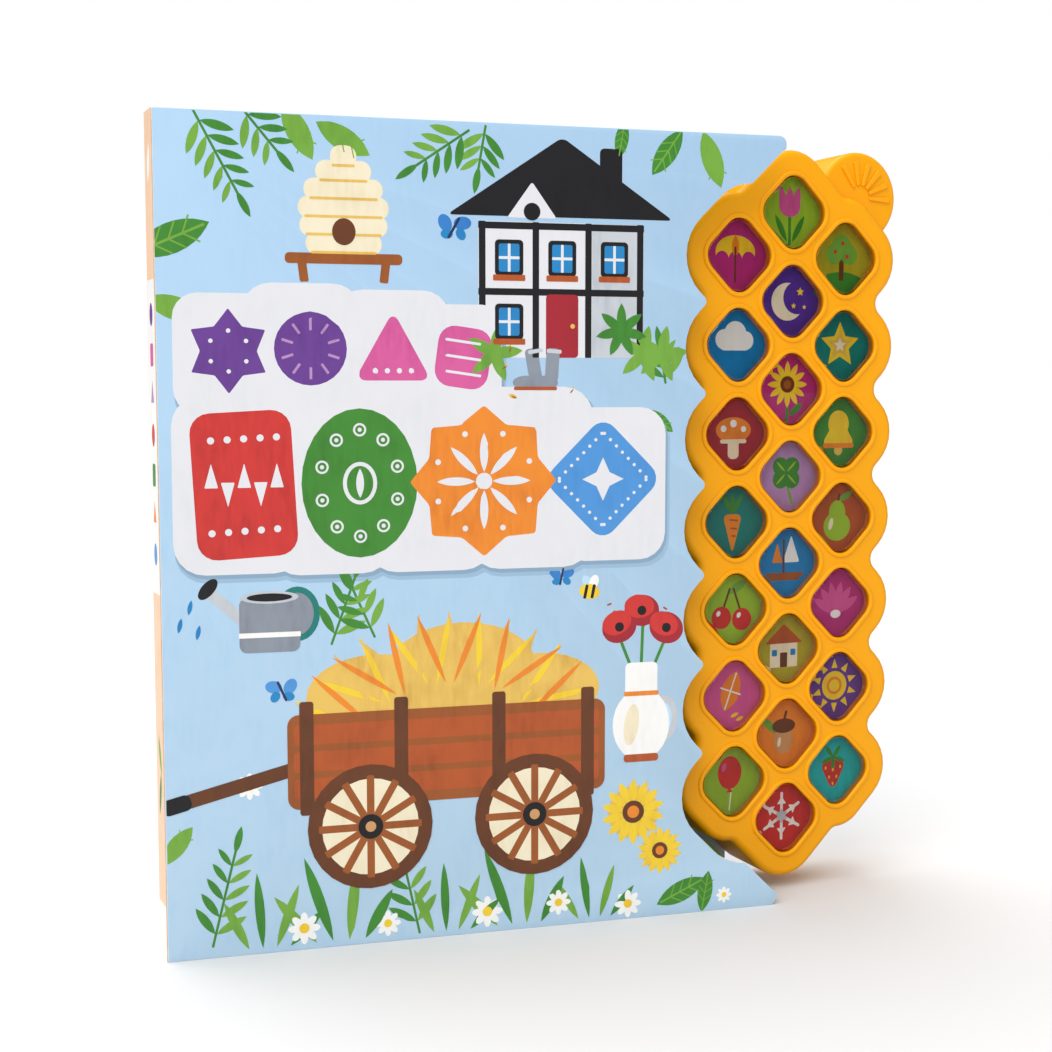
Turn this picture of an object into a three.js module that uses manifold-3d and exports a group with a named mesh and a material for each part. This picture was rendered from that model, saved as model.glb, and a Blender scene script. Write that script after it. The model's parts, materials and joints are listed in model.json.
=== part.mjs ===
// A board book with a sound module on its right edge: 22 picture buttons in a scalloped housing.
// The book stands upright with its front cover a little open. Millimetres, +Z up.
// X runs across the cover from its middle, Y from front to back with 0 in the middle of the pages.
// The origin is on the bottom edge of the page block, which stands on the surface.

import * as THREE from 'three';
import { mergeVertices } from 'three/addons/utils/BufferGeometryUtils.js';
import Module from 'manifold-3d';

const wasm = await Module();
wasm.setup();

// Clearances
const SEAT_GAP = 0.3; // between two pieces that touch
const HINGE_GAP = 0.2; // from a mitred crease to its folding line
const BUTTON_GAP = 0.35; // round a button in its window
const SCREW_GAP = 0.3; // round a screw in its hole

// The book
const BOOK_HEIGHT = 300;
const COVER_WIDTH = 236.5;
const BOARD = 2;
const LEAF = 1.6;
const LEAVES = 5;
const LEAF_GROOVE = 0.4;
const TAB_CORNER = 3;
const SPINE_CORNER = 0.6;
const OPEN_ANGLE = 8;
const NOTCH_CLEARANCE = 2.8;
const TONGUE_INSET = 3;

// The sound module: three columns of windows, the middle one half a row higher
const MODULE_FROM_SPINE = 248.2;
const MODULE_RAISE = 1.5;
const MODULE_PROUD = 17.3;
const COLUMN_PITCH = 24.8;
const ROW_PITCH = 34.8;
const MIDDLE_BUTTONS = 8;
const WINDOW_TIP = 17.3;
const WINDOW_CORNER = 7;
const PLATE_MARGIN = 10.1;
const LOBE_CORNER = 17;
const LOBE_NOTCH = 5;
const SHOULDER_CORNER = 13;
const SHOULDER_NOTCH = 4;
const PLATE_FILLET = 3;
const SHELL_WALL = 2.2;
const RIM_HEIGHT = 0.8;
const RIM_FOOT = 1.9;
const RIM_TOP = 1.1;
const COLLAR_WALL = 1.4;
const COLLAR_DEPTH = 6;

// The buttons and what they press on
const BUTTON_RECESS = 0.6;
const BUTTON_FLANGE = 1;
const FLANGE_THICKNESS = 1.2;
const BUTTON_TRAVEL = 1.2;
const DOME_HEIGHT = 1.8;
const DOME_RADIUS = 5;
const DOME_TOP_RADIUS = 3.2;
const MEMBRANE = 1;
const CIRCUIT_BOARD = 1.6;
const CIRCUIT_MARGIN = 7.4;
const CHIP_RADIUS = 6;
const CHIP_HEIGHT = 2;

// The round speaker boss at the top right
const SPEAKER_ACROSS = 34;
const SPEAKER_UP = 7.7;
const BOSS_RADIUS = 18.3;
const BOSS_SET_BACK = 5;
const BOSS_FILLET = 2;
const RAY_ANGLES = [-31.7, -7.1, 17.5, 42.1, 66.7, 91.3];
const RAY_START = 5;
const RAY_END = 14.7;
const RAY_START_WIDTH = 1.3;
const RAY_END_WIDTH = 2.4;
const RAY_HEIGHT = 0.9;
const SPEAKER_RADIUS = 14;
const SPEAKER_RIM = 1.6;
const SPEAKER_DEPTH = 5;
const BASKET_RADIUS = 8;
const CONE_SHEET = 0.5;
const MAGNET_RADIUS = 6.5;
const MAGNET_DEPTH = 3;
const SPEAKER_COLLAR = 1.4;
const SPEAKER_COLLAR_HEIGHT = 3;
const GRILLE_HOLE = 1;
const GRILLE_RINGS = [[0, 1], [3.6, 6], [7.2, 10]];
const GRILLE_ROOM = 10.5;
const LEAD_RADIUS = 0.6;

// The back shell, its screws and the battery bay
const LID = 1.8;
const LID_CLEARANCE = 0.3;
const SCREW_ROWS = [1, 3, 6];
const SCREW_RADIUS = 1.2;
const SCREW_HEAD = 2.4;
const SCREW_HEAD_HEIGHT = 1.6;
const SCREW_LENGTH = 11;
const SCREW_BOSS = 2.8;
const SCREW_CUP_DEPTH = 3.6;
const POST_RADIUS = 2;
const POST_ROWS = [0, 2, 4, 6];
const CELL_RADIUS = 5.8;
const CELL_HEIGHT = 5.4;
const CELL_COUNT = 3;
const CONTACT = 0.4;
const BAY_WALL = 1.4;
const BAY_DROP = 52;
const DOOR = 1.6;
const DOOR_LEDGE = 2.6;
const DOOR_SCREW_ROOM = 9;
const DOOR_CORNER = 4;
const DOOR_FRAME = 2;
const DOOR_WINDOW_GAP = 1.5;

// Fineness of the round forms
const LOBE_STEPS = 4;
const BOARD_LOBE_STEPS = 3;
const CORNER_STEPS = 3;
const FILLET_STEPS = 2;
const BOSS_STEPS = 32;
const ROUND_STEPS = 12;
const SMALL_ROUND_STEPS = 8;
const HOLE_STEPS = 6;

// Planes and places that follow from the sizes
const pageThickness = LEAVES * LEAF;
const bookFront = -pageThickness / 2 - SEAT_GAP - BOARD;
const bookBack = -bookFront;
const spineSide = -COVER_WIDTH / 2;
const spineInside = spineSide + BOARD;
const moduleMiddle = spineSide + MODULE_FROM_SPINE;
const columnHeight = (MIDDLE_BUTTONS - 1) * ROW_PITCH;
const notchTopRow = BOOK_HEIGHT / 2 + columnHeight / 2;
const topRow = notchTopRow + MODULE_RAISE;
const plateFace = bookFront - MODULE_PROUD;
const plateBack = plateFace + SHELL_WALL;
const rimFace = plateFace - RIM_HEIGHT;
const collarBack = plateFace + COLLAR_DEPTH;
const shellBack = bookBack - BOARD - SEAT_GAP;
const lidInside = shellBack - LID;
const flangeFront = collarBack + SEAT_GAP;
const buttonBack = flangeFront + FLANGE_THICKNESS;
const buttonFace = rimFace + BUTTON_RECESS;
const domeTop = buttonBack + BUTTON_TRAVEL + SEAT_GAP;
const membraneFace = domeTop + DOME_HEIGHT;
const membraneBack = membraneFace + MEMBRANE;
const circuitFace = membraneBack + SEAT_GAP;
const circuitBack = circuitFace + CIRCUIT_BOARD;
const screwAcross = COLUMN_PITCH + CIRCUIT_MARGIN + SEAT_GAP + SCREW_BOSS;
const lobeTip = WINDOW_TIP + PLATE_MARGIN * Math.SQRT2;
const speaker = new THREE.Vector2(moduleMiddle + SPEAKER_ACROSS, topRow + SPEAKER_UP);
const bossFace = plateFace + BOSS_SET_BACK;

// Materials of the photographed object
const finish = (color, roughness, metalness = 0) =>
  new THREE.MeshStandardMaterial({ color, roughness, metalness });
const coverPrint = finish(0xbcdcf2, 0.35);
const spinePrint = finish(0xf8d2b6, 0.4);
const whiteBoard = finish(0xf4f2ec, 0.8);
const orangePlastic = finish(0xfaa60c, 0.38);
const rubber = finish(0xd8d8d2, 0.7);
const circuitGreen = finish(0x2f6b3a, 0.5);
const blackPlastic = finish(0x17181a, 0.45);
const speakerPaper = finish(0x24211f, 0.8);
const steel = finish(0xb9bcc0, 0.3, 1);
const redLead = finish(0xc22020, 0.5);
const blackLead = finish(0x1a1a1a, 0.5);
const buttonTints = {
  middle: [0x7fa31c, 0x54307a, 0xc2327f, 0xb489b4, 0x1c7fc4, 0xb8ab1c, 0xf08a18, 0xd22f20],
  left: [0xb03080, 0x2a78b8, 0xa81c24, 0x0f7f80, 0x74a81c, 0xd0a0bc, 0x9ccb2c],
  right: [0xb6aa20, 0x1c8a7c, 0x52a032, 0xb0521c, 0xb02878, 0x6c3a8c, 0x20b0b0],
};

// Outlines are lists of points in the X-Z plane, counter-clockwise seen from the front.
// Each corner is [x, z, radius, steps]; a corner without a radius stays sharp.
function roundedOutline(corners) {
  const points = [];
  corners.forEach(([x, z, radius = 0, steps = 1], i) => {
    const corner = new THREE.Vector2(x, z);
    if (radius === 0) {
      points.push(corner);
      return;
    }
    const [beforeX, beforeZ] = corners[(i + corners.length - 1) % corners.length];
    const [afterX, afterZ] = corners[(i + 1) % corners.length];
    const toBefore = new THREE.Vector2(beforeX, beforeZ).sub(corner).normalize();
    const toAfter = new THREE.Vector2(afterX, afterZ).sub(corner).normalize();
    const halfAngle = Math.acos(toBefore.dot(toAfter)) / 2;
    const middle = toBefore.clone().add(toAfter).setLength(radius / Math.sin(halfAngle)).add(corner);
    const start = toBefore.clone().multiplyScalar(radius / Math.tan(halfAngle)).add(corner).sub(middle);
    const turn = (Math.PI - 2 * halfAngle) * Math.sign(toAfter.cross(toBefore));
    for (let step = 0; step <= steps; step += 1) {
      points.push(start.clone().rotateAround(new THREE.Vector2(), (turn * step) / steps).add(middle));
    }
  });
  return points;
}

// Moves every point of an outline outwards by one distance
function grown(points, distance) {
  return points.map((point, i) => {
    const before = points[(i + points.length - 1) % points.length];
    const after = points[(i + 1) % points.length];
    const inward = point.clone().sub(before).normalize();
    const onward = after.clone().sub(point).normalize();
    const along = inward.clone().add(onward).normalize();
    const outward = new THREE.Vector2(along.y, -along.x);
    const stretch = 1 / Math.max(along.dot(onward), 0.5);
    return outward.multiplyScalar(distance * stretch).add(point);
  });
}

const shifted = (points, x, z) => points.map((point) => new THREE.Vector2(point.x + x, point.y + z));

function roundedBar(left, right, bottom, top, radius, steps) {
  const corners = [[left, bottom], [right, bottom], [right, top], [left, top]];
  return roundedOutline(corners.map(([x, z]) => [x, z, radius, steps]));
}

function ring(radius, steps) {
  return Array.from({ length: steps }, (_, i) => {
    const angle = (2 * Math.PI * i) / steps;
    return new THREE.Vector2(radius * Math.cos(angle), radius * Math.sin(angle));
  });
}

// A solid through outlines of equally many points, listed as [points, y] from back to front
function stack(sections) {
  const count = sections[0][0].length;
  const positions = sections.flatMap(([points, y]) => points.flatMap((point) => [point.x, y, point.y]));
  const caps = THREE.ShapeUtils.triangulateShape(sections[0][0], []);
  const lastCaps = THREE.ShapeUtils.triangulateShape(sections.at(-1)[0], []);
  const last = (sections.length - 1) * count;
  const faces = [];
  caps.forEach(([a, b, c]) => faces.push(a, c, b));
  lastCaps.forEach(([a, b, c]) => faces.push(a + last, b + last, c + last));
  for (let level = 0; level < sections.length - 1; level += 1) {
    for (let i = 0; i < count; i += 1) {
      const a = level * count + i;
      const b = level * count + ((i + 1) % count);
      faces.push(a, b, b + count, a, b + count, a + count);
    }
  }
  const geometry = new THREE.BufferGeometry();
  geometry.setAttribute('position', new THREE.Float32BufferAttribute(positions, 3));
  geometry.setIndex(faces);
  return toSolid(geometry);
}

const slab = (points, back, front) => stack([[points, back], [points, front]]);

// A turned solid about a line along Y; the profile is [radius, y] from back to front
function turned(profile, x, z, steps = ROUND_STEPS) {
  const points = profile.map(([radius, y]) => new THREE.Vector2(radius, y));
  const geometry = new THREE.LatheGeometry(points.reverse(), steps);
  return toSolid(geometry).translate([x, 0, z]);
}

function disc(radius, back, front, x, z, steps = ROUND_STEPS) {
  return turned([[0, back], [radius, back], [radius, front], [0, front]], x, z, steps);
}

function toSolid(geometry) {
  const bare = geometry.clone();
  bare.deleteAttribute('normal');
  bare.deleteAttribute('uv');
  const merged = mergeVertices(bare, 1e-4);
  const mesh = new wasm.Mesh({
    numProp: 3,
    vertProperties: new Float32Array(merged.attributes.position.array),
    triVerts: new Uint32Array(merged.index.array),
  });
  mesh.merge();
  const solid = new wasm.Manifold(mesh);
  return solid.volume() < 0 ? flipped(merged) : solid;
}

function flipped(merged) {
  const faces = Array.from(merged.index.array);
  for (let i = 0; i < faces.length; i += 3) {
    [faces[i + 1], faces[i + 2]] = [faces[i + 2], faces[i + 1]];
  }
  return new wasm.Manifold(new wasm.Mesh({
    numProp: 3,
    vertProperties: new Float32Array(merged.attributes.position.array),
    triVerts: new Uint32Array(faces),
  }));
}

const joined = (solids) => wasm.Manifold.union(solids);
const cut = (solid, tools) => wasm.Manifold.difference(solid, joined(tools));

function meshOf(name, solid, material) {
  const { vertProperties, triVerts } = solid.getMesh();
  const geometry = new THREE.BufferGeometry();
  geometry.setAttribute('position', new THREE.BufferAttribute(vertProperties, 3));
  geometry.setIndex(new THREE.BufferAttribute(triVerts, 1));
  const flat = geometry.toNonIndexed();
  flat.computeVertexNormals();
  const mesh = new THREE.Mesh(flat, material);
  mesh.name = name;
  return mesh;
}

// Window places, from the top: the middle column, then the outer ones half a row lower
function windowPlaces() {
  const column = (side, count, drop) => Array.from({ length: count }, (_, i) => ({
    side,
    number: i + 1,
    x: moduleMiddle + { left: -1, middle: 0, right: 1 }[side] * COLUMN_PITCH,
    z: topRow - drop - i * ROW_PITCH,
  }));
  return [
    ...column('middle', MIDDLE_BUTTONS, 0),
    ...column('left', MIDDLE_BUTTONS - 1, ROW_PITCH / 2),
    ...column('right', MIDDLE_BUTTONS - 1, ROW_PITCH / 2),
  ];
}

// A window is a square standing on its corner
const windowOutline = roundedOutline([
  [0, -WINDOW_TIP, WINDOW_CORNER, CORNER_STEPS],
  [WINDOW_TIP, 0, WINDOW_CORNER, CORNER_STEPS],
  [0, WINDOW_TIP, WINDOW_CORNER, CORNER_STEPS],
  [-WINDOW_TIP, 0, WINDOW_CORNER, CORNER_STEPS],
]);

// The scalloped outline goes round the outer windows at one margin, about the top window's centre
function scallopedOutline(lobeSteps, valleySteps) {
  const right = [];
  const shoulder = lobeTip - LOBE_CORNER * (Math.SQRT2 - 1) - ROW_PITCH / 2;
  const valley = COLUMN_PITCH + lobeTip - ROW_PITCH / 2;
  const shoulderSide = COLUMN_PITCH + lobeTip - shoulder - ROW_PITCH / 2;
  right.push([lobeTip - shoulder, shoulder, SHOULDER_NOTCH, 1]);
  right.push([shoulderSide, shoulder, SHOULDER_CORNER, 2]);
  for (let lobe = 0; lobe < MIDDLE_BUTTONS - 1; lobe += 1) {
    const z = -ROW_PITCH / 2 - lobe * ROW_PITCH;
    right.push([COLUMN_PITCH + lobeTip, z, LOBE_CORNER, lobeSteps]);
    if (lobe < MIDDLE_BUTTONS - 2) {
      right.push([valley, z - ROW_PITCH / 2, LOBE_NOTCH, valleySteps]);
    }
  }
  const foot = -columnHeight - shoulder;
  right.push([shoulderSide, foot, SHOULDER_CORNER, 2]);
  right.push([lobeTip - shoulder, foot, SHOULDER_NOTCH, 1]);
  const left = right.map(([x, z, radius, steps]) => [-x, z, radius, steps]).reverse();
  const top = [0, lobeTip, LOBE_CORNER, lobeSteps];
  const bottom = [0, -columnHeight - lobeTip, LOBE_CORNER, lobeSteps];
  return roundedOutline([top, ...right, bottom, ...left]).reverse();
}

const scallops = shifted(scallopedOutline(LOBE_STEPS, CORNER_STEPS), moduleMiddle, topRow);
const boardScallops = scallopedOutline(BOARD_LOBE_STEPS, BOARD_LOBE_STEPS - 1);
const innerScallops = grown(shifted(boardScallops, moduleMiddle, topRow), -SHELL_WALL);
const notch = grown(shifted(boardScallops, moduleMiddle, notchTopRow), NOTCH_CLEARANCE);

// The panel that both covers and the pages are cut from
function panelOutline(left) {
  return roundedOutline([
    [left, 0, SPINE_CORNER, 1],
    [-spineSide, 0, TAB_CORNER, CORNER_STEPS],
    [-spineSide, BOOK_HEIGHT, TAB_CORNER, CORNER_STEPS],
    [left, BOOK_HEIGHT, SPINE_CORNER, 1],
  ]);
}

// A wedge outside the mitre of a crease at the spine, for a board between the planes inner and outer
function mitreWedge(outer, inner) {
  const clear = HINGE_GAP * Math.SQRT2;
  const beyond = 4 * BOARD;
  const side = Math.sign(outer - inner);
  const shape = new THREE.Shape([
    new THREE.Vector2(spineSide + clear - BOARD, outer + side * BOARD),
    new THREE.Vector2(spineSide + clear + beyond, outer - side * beyond),
    new THREE.Vector2(spineSide - beyond, outer - side * beyond),
    new THREE.Vector2(spineSide - beyond, outer + side * BOARD),
  ]);
  const depth = BOOK_HEIGHT + 2 * beyond;
  const geometry = new THREE.ExtrudeGeometry(shape, { depth, bevelEnabled: false });
  return toSolid(geometry.translate(0, 0, -beyond));
}

function buildFrontCover() {
  const board = slab(panelOutline(spineSide), bookFront + BOARD, bookFront);
  const notchTool = slab(notch, bookFront + 2 * BOARD, bookFront - BOARD);
  const cover = cut(board, [notchTool, mitreWedge(bookFront, bookFront + BOARD)]);
  const mesh = meshOf('front_cover', cover.translate([-spineSide, -bookFront, 0]), coverPrint);
  const hinge = new THREE.Group();
  hinge.position.set(spineSide, bookFront, 0);
  hinge.rotation.z = THREE.MathUtils.degToRad(-OPEN_ANGLE);
  hinge.add(mesh);
  return hinge;
}

function buildSpine() {
  const clear = HINGE_GAP * Math.SQRT2;
  const shape = new THREE.Shape([
    new THREE.Vector2(spineSide, bookFront + clear),
    new THREE.Vector2(spineInside, bookFront + BOARD + clear),
    new THREE.Vector2(spineInside, bookBack - BOARD - clear),
    new THREE.Vector2(spineSide, bookBack - clear),
  ]);
  const geometry = new THREE.ExtrudeGeometry(shape, { depth: BOOK_HEIGHT, bevelEnabled: false });
  return meshOf('spine', toSolid(geometry), spinePrint);
}

// The leaves show as shallow grooves round the edge of one solid block
function buildPageBlock() {
  const outline = panelOutline(spineInside + SEAT_GAP);
  const groove = grown(outline, -LEAF_GROOVE);
  const notchGroove = grown(notch, LEAF_GROOVE);
  const back = pageThickness / 2;
  const leafSections = (edge, valley) => {
    const sections = [[edge, back]];
    for (let leaf = 1; leaf < LEAVES; leaf += 1) {
      const y = back - leaf * LEAF;
      sections.push([edge, y + LEAF_GROOVE / 2], [valley, y], [edge, y - LEAF_GROOVE / 2]);
    }
    sections.push([edge, -back]);
    return sections;
  };
  const notchSections = leafSections(notch, notchGroove);
  notchSections[0][1] += BOARD;
  notchSections.at(-1)[1] -= BOARD;
  return meshOf('page_block', cut(stack(leafSections(outline, groove)), [stack(notchSections)]), whiteBoard);
}

// The back cover goes on behind the module as a tongue with openings for the sound and the batteries
function buildBackCover(bay) {
  const inside = bookBack - BOARD;
  const panel = slab(panelOutline(spineSide), bookBack, inside);
  const tongue = slab(grown(scallops, -TONGUE_INSET), bookBack, inside);
  const soundHole = disc(GRILLE_ROOM, bookBack + BOARD, inside - BOARD, speaker.x, speaker.y, BOSS_STEPS);
  const doorHole = slab(grown(bay.doorOutline, DOOR_WINDOW_GAP), bookBack + BOARD, inside - BOARD);
  const cover = cut(joined([panel, tongue]), [soundHole, doorHole, mitreWedge(bookBack, inside)]);
  return meshOf('back_cover', cover, whiteBoard);
}

// Rows of a filleted edge: how far in and how far back each one lies
function filletRows(radius) {
  return Array.from({ length: FILLET_STEPS + 1 }, (_, i) => {
    const angle = (Math.PI / 2) * (i / FILLET_STEPS);
    return { inset: radius * (1 - Math.cos(angle)), setBack: radius * (1 - Math.sin(angle)) };
  });
}

function plateBody() {
  const rows = filletRows(PLATE_FILLET).map((row) => [grown(scallops, -row.inset), plateFace + row.setBack]);
  return stack([[scallops, shellBack], ...rows]);
}

function speakerBoss() {
  const rows = filletRows(BOSS_FILLET).map((row) => [BOSS_RADIUS - row.inset, bossFace + row.setBack]);
  const profile = [[0, shellBack], [BOSS_RADIUS, shellBack], ...rows, [0, bossFace]];
  return turned(profile, speaker.x, speaker.y, BOSS_STEPS);
}

// One raised ray of the fan on the speaker boss, wider and rounded outwards
function ray(angle) {
  const bar = roundedOutline([
    [RAY_START_WIDTH / 2, RAY_START, RAY_START_WIDTH / 3, 1],
    [RAY_END_WIDTH / 2, RAY_END, RAY_END_WIDTH / 3, 2],
    [-RAY_END_WIDTH / 2, RAY_END, RAY_END_WIDTH / 3, 2],
    [-RAY_START_WIDTH / 2, RAY_START, RAY_START_WIDTH / 3, 1],
  ]);
  const turn = THREE.MathUtils.degToRad(-angle);
  const placed = bar.map((point) => point.rotateAround(new THREE.Vector2(), turn).add(speaker));
  const crest = grown(placed, -RAY_HEIGHT / 3);
  return stack([[placed, bossFace + BOSS_FILLET / 2], [crest, bossFace - RAY_HEIGHT]]);
}

function windowCollar({ x, z }) {
  const at = (offset) => grown(shifted(windowOutline, x, z), offset);
  const rimSeat = plateFace + RIM_HEIGHT;
  return stack([
    [at(COLLAR_WALL), collarBack],
    [at(COLLAR_WALL), rimSeat],
    [at(RIM_FOOT), rimSeat],
    [at(RIM_FOOT), plateFace],
    [at(RIM_TOP), rimFace],
  ]);
}

function windowHole({ x, z }) {
  const hole = shifted(windowOutline, x, z);
  return slab(hole, collarBack + RIM_HEIGHT, rimFace - RIM_HEIGHT);
}

// Screw places: in the thick corners between the lobes, on both sides
function screwPlaces() {
  return SCREW_ROWS.flatMap((row) => [-1, 1].map((side) => ({
    x: moduleMiddle + side * screwAcross,
    z: topRow - row * ROW_PITCH,
  })));
}

function buildFrontHousing(windows) {
  const screwCupFace = lidInside - SCREW_CUP_DEPTH;
  const mouth = shellBack + LID;
  const shell = cut(joined([plateBody(), speakerBoss()]), [
    slab(innerScallops, mouth, plateBack),
    disc(BOSS_RADIUS - SHELL_WALL, mouth, bossFace + SHELL_WALL, speaker.x, speaker.y, BOSS_STEPS),
  ]);
  const bosses = screwPlaces().map(({ x, z }) =>
    disc(SCREW_BOSS, screwCupFace - SEAT_GAP, plateBack - SHELL_WALL / 2, x, z, SMALL_ROUND_STEPS));
  const holes = screwPlaces().map(({ x, z }) =>
    disc(SCREW_RADIUS + SCREW_GAP, screwCupFace, screwCupFace - SCREW_LENGTH, x, z, SMALL_ROUND_STEPS));
  const rays = RAY_ANGLES.map((angle) => ray(angle));
  const collars = windows.map((place) => windowCollar(place));
  const openings = windows.map((place) => windowHole(place));
  const cupRooms = screwPlaces().map(({ x, z }) =>
    disc(SCREW_BOSS + LID_CLEARANCE, mouth, screwCupFace - SEAT_GAP, x, z, SMALL_ROUND_STEPS));
  const raised = joined([shell, ...bosses, ...rays, ...collars]);
  return meshOf('front_housing', cut(raised, [...openings, ...holes, ...cupRooms]), orangePlastic);
}

// A button cap with the flange that keeps it behind its window, and the picture card under it
function buildButton({ side, number, x, z }) {
  const at = (offset) => grown(shifted(windowOutline, x, z), offset);
  const solid = stack([
    [at(BUTTON_FLANGE), buttonBack],
    [at(BUTTON_FLANGE), flangeFront],
    [at(-BUTTON_GAP), flangeFront],
    [at(-BUTTON_GAP), buttonFace],
  ]);
  return meshOf(`button_${side}_${number}`, solid, finish(buttonTints[side][number - 1], 0.2));
}

// The circuit board and the rubber sheet reach past the outer windows and narrow to the middle column
function circuitOutline() {
  const narrow = CIRCUIT_MARGIN;
  const wide = COLUMN_PITCH + CIRCUIT_MARGIN;
  const top = topRow + CIRCUIT_MARGIN;
  const bottom = topRow - columnHeight - CIRCUIT_MARGIN;
  const corners = [
    [-narrow, bottom],
    [narrow, bottom],
    [wide, bottom + COLUMN_PITCH],
    [wide, top - COLUMN_PITCH],
    [narrow, top],
    [-narrow, top],
    [-wide, top - COLUMN_PITCH],
    [-wide, bottom + COLUMN_PITCH],
  ];
  return corners.map(([x, z]) => new THREE.Vector2(moduleMiddle + x, z));
}

// A rubber sheet with one dome behind each button
function buildMembrane(windows) {
  const sheet = slab(circuitOutline(), membraneBack, membraneFace);
  const domes = windows.map(({ x, z }) => turned([
    [0, membraneFace + MEMBRANE / 2],
    [DOME_RADIUS, membraneFace + MEMBRANE / 2],
    [DOME_RADIUS, membraneFace],
    [DOME_TOP_RADIUS, domeTop],
    [0, domeTop],
  ], x, z, HOLE_STEPS));
  return meshOf('keypad_membrane', joined([sheet, ...domes]), rubber);
}

function buildCircuitBoard() {
  return meshOf('circuit_board', slab(circuitOutline(), circuitBack, circuitFace), circuitGreen);
}

function buildChip() {
  const back = circuitBack + SEAT_GAP;
  const profile = filletRows(1).reverse().map(({ inset, setBack }) =>
    [CHIP_RADIUS * (1 - inset), back + CHIP_HEIGHT * (1 - setBack)]);
  const solid = turned([...profile, [CHIP_RADIUS, back], [0, back]], moduleMiddle, topRow - columnHeight / 2);
  return meshOf('chip_blob', solid, blackPlastic);
}

// Battery bay values that the back shell, the door, the cells and the back cover share
function batteryBay() {
  const pitch = 2 * CELL_RADIUS + SEAT_GAP;
  const length = CELL_COUNT * pitch + SEAT_GAP;
  const width = 2 * (CELL_RADIUS + SEAT_GAP);
  const middle = topRow - columnHeight / 2 - BAY_DROP;
  const left = moduleMiddle - (length + DOOR_SCREW_ROOM) / 2;
  const right = left + length;
  const outline = roundedBar(left, right, middle - width / 2, middle + width / 2, CELL_RADIUS / 2, 2);
  const doorOutline = roundedBar(
    left - DOOR_LEDGE,
    right + DOOR_SCREW_ROOM,
    middle - width / 2 - DOOR_LEDGE,
    middle + width / 2 + DOOR_LEDGE,
    DOOR_CORNER,
    CORNER_STEPS,
  );
  const doorInside = shellBack - DOOR;
  const doorContact = doorInside - SEAT_GAP;
  const cellBack = doorContact - CONTACT - SEAT_GAP;
  const cellFront = cellBack - CELL_HEIGHT;
  const floorContact = cellFront - SEAT_GAP;
  const floor = floorContact - CONTACT - SEAT_GAP;
  const cells = Array.from({ length: CELL_COUNT }, (_, i) => left + SEAT_GAP + CELL_RADIUS + i * pitch);
  const screw = right + DOOR_SCREW_ROOM / 2;
  const planes = { doorInside, doorContact, cellBack, cellFront, floorContact, floor };
  return { outline, doorOutline, cells, middle, screw, ...planes };
}

// The back shell closes the housing: a lid with screw cups, board posts, speaker collar and battery bay
function buildRearHousing(bay) {
  const lidOutline = grown(innerScallops, -LID_CLEARANCE);
  const lidBoss = BOSS_RADIUS - SHELL_WALL - LID_CLEARANCE;
  const ledge = bay.doorInside - SEAT_GAP;
  const frame = grown(bay.doorOutline, DOOR_FRAME);
  const tub = grown(bay.outline, BAY_WALL);
  const postFront = circuitBack + SEAT_GAP;
  const collarFront = lidInside - SPEAKER_COLLAR_HEIGHT;
  const posts = POST_ROWS.flatMap((row) => [-1, 1].map((side) => disc(
    POST_RADIUS,
    lidInside + LID / 2,
    postFront,
    moduleMiddle + side * COLUMN_PITCH,
    topRow - (row + 1) * ROW_PITCH,
    SMALL_ROUND_STEPS,
  )));
  const cupFace = lidInside - SCREW_CUP_DEPTH;
  const cups = screwPlaces().map(({ x, z }) => disc(SCREW_BOSS, shellBack, cupFace, x, z, SMALL_ROUND_STEPS));
  const body = joined([
    slab(lidOutline, shellBack, lidInside),
    disc(lidBoss, shellBack, lidInside, speaker.x, speaker.y, BOSS_STEPS),
    slab(frame, shellBack, ledge - BAY_WALL),
    slab(tub, ledge, bay.floor - BAY_WALL),
    disc(SPEAKER_RADIUS + SPEAKER_COLLAR, lidInside + LID / 2, collarFront, speaker.x, speaker.y, BOSS_STEPS),
    disc(SCREW_BOSS, ledge, ledge - SCREW_CUP_DEPTH, bay.screw, bay.middle),
    ...posts,
    ...cups,
  ]);
  const outside = shellBack + LID;
  const shankHole = SCREW_RADIUS + SCREW_GAP;
  const headHole = SCREW_HEAD + SCREW_GAP;
  const screwHoles = screwPlaces().flatMap(({ x, z }) => [
    disc(headHole, outside, shellBack - SCREW_HEAD_HEIGHT - SEAT_GAP, x, z, SMALL_ROUND_STEPS),
    disc(shankHole, outside, lidInside - 2 * SCREW_CUP_DEPTH, x, z, SMALL_ROUND_STEPS),
  ]);
  const grille = GRILLE_RINGS.flatMap(([radius, count]) => ring(radius, count).map((hole) => disc(
    GRILLE_HOLE,
    outside,
    lidInside - LID,
    speaker.x + hole.x,
    speaker.y + hole.y,
    HOLE_STEPS,
  )));
  return meshOf('rear_housing', cut(body, [
    slab(grown(bay.doorOutline, SEAT_GAP), outside, ledge),
    slab(bay.outline, outside, bay.floor),
    disc(shankHole, outside, ledge - 2 * SCREW_CUP_DEPTH, bay.screw, bay.middle, SMALL_ROUND_STEPS),
    disc(SPEAKER_RADIUS + SEAT_GAP, lidInside, collarFront - LID, speaker.x, speaker.y, BOSS_STEPS),
    ...screwHoles,
    ...grille,
  ]), orangePlastic);
}

function screw(name, head, x, z, length) {
  const under = head - SCREW_HEAD_HEIGHT;
  const tip = under - length;
  const solid = turned([
    [0, head],
    [SCREW_HEAD * 0.75, head],
    [SCREW_HEAD, head - SCREW_HEAD_HEIGHT / 2],
    [SCREW_HEAD, under],
    [SCREW_RADIUS, under],
    [SCREW_RADIUS, tip + SCREW_RADIUS],
    [0, tip],
  ], x, z, SMALL_ROUND_STEPS);
  return meshOf(name, solid, steel);
}

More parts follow.
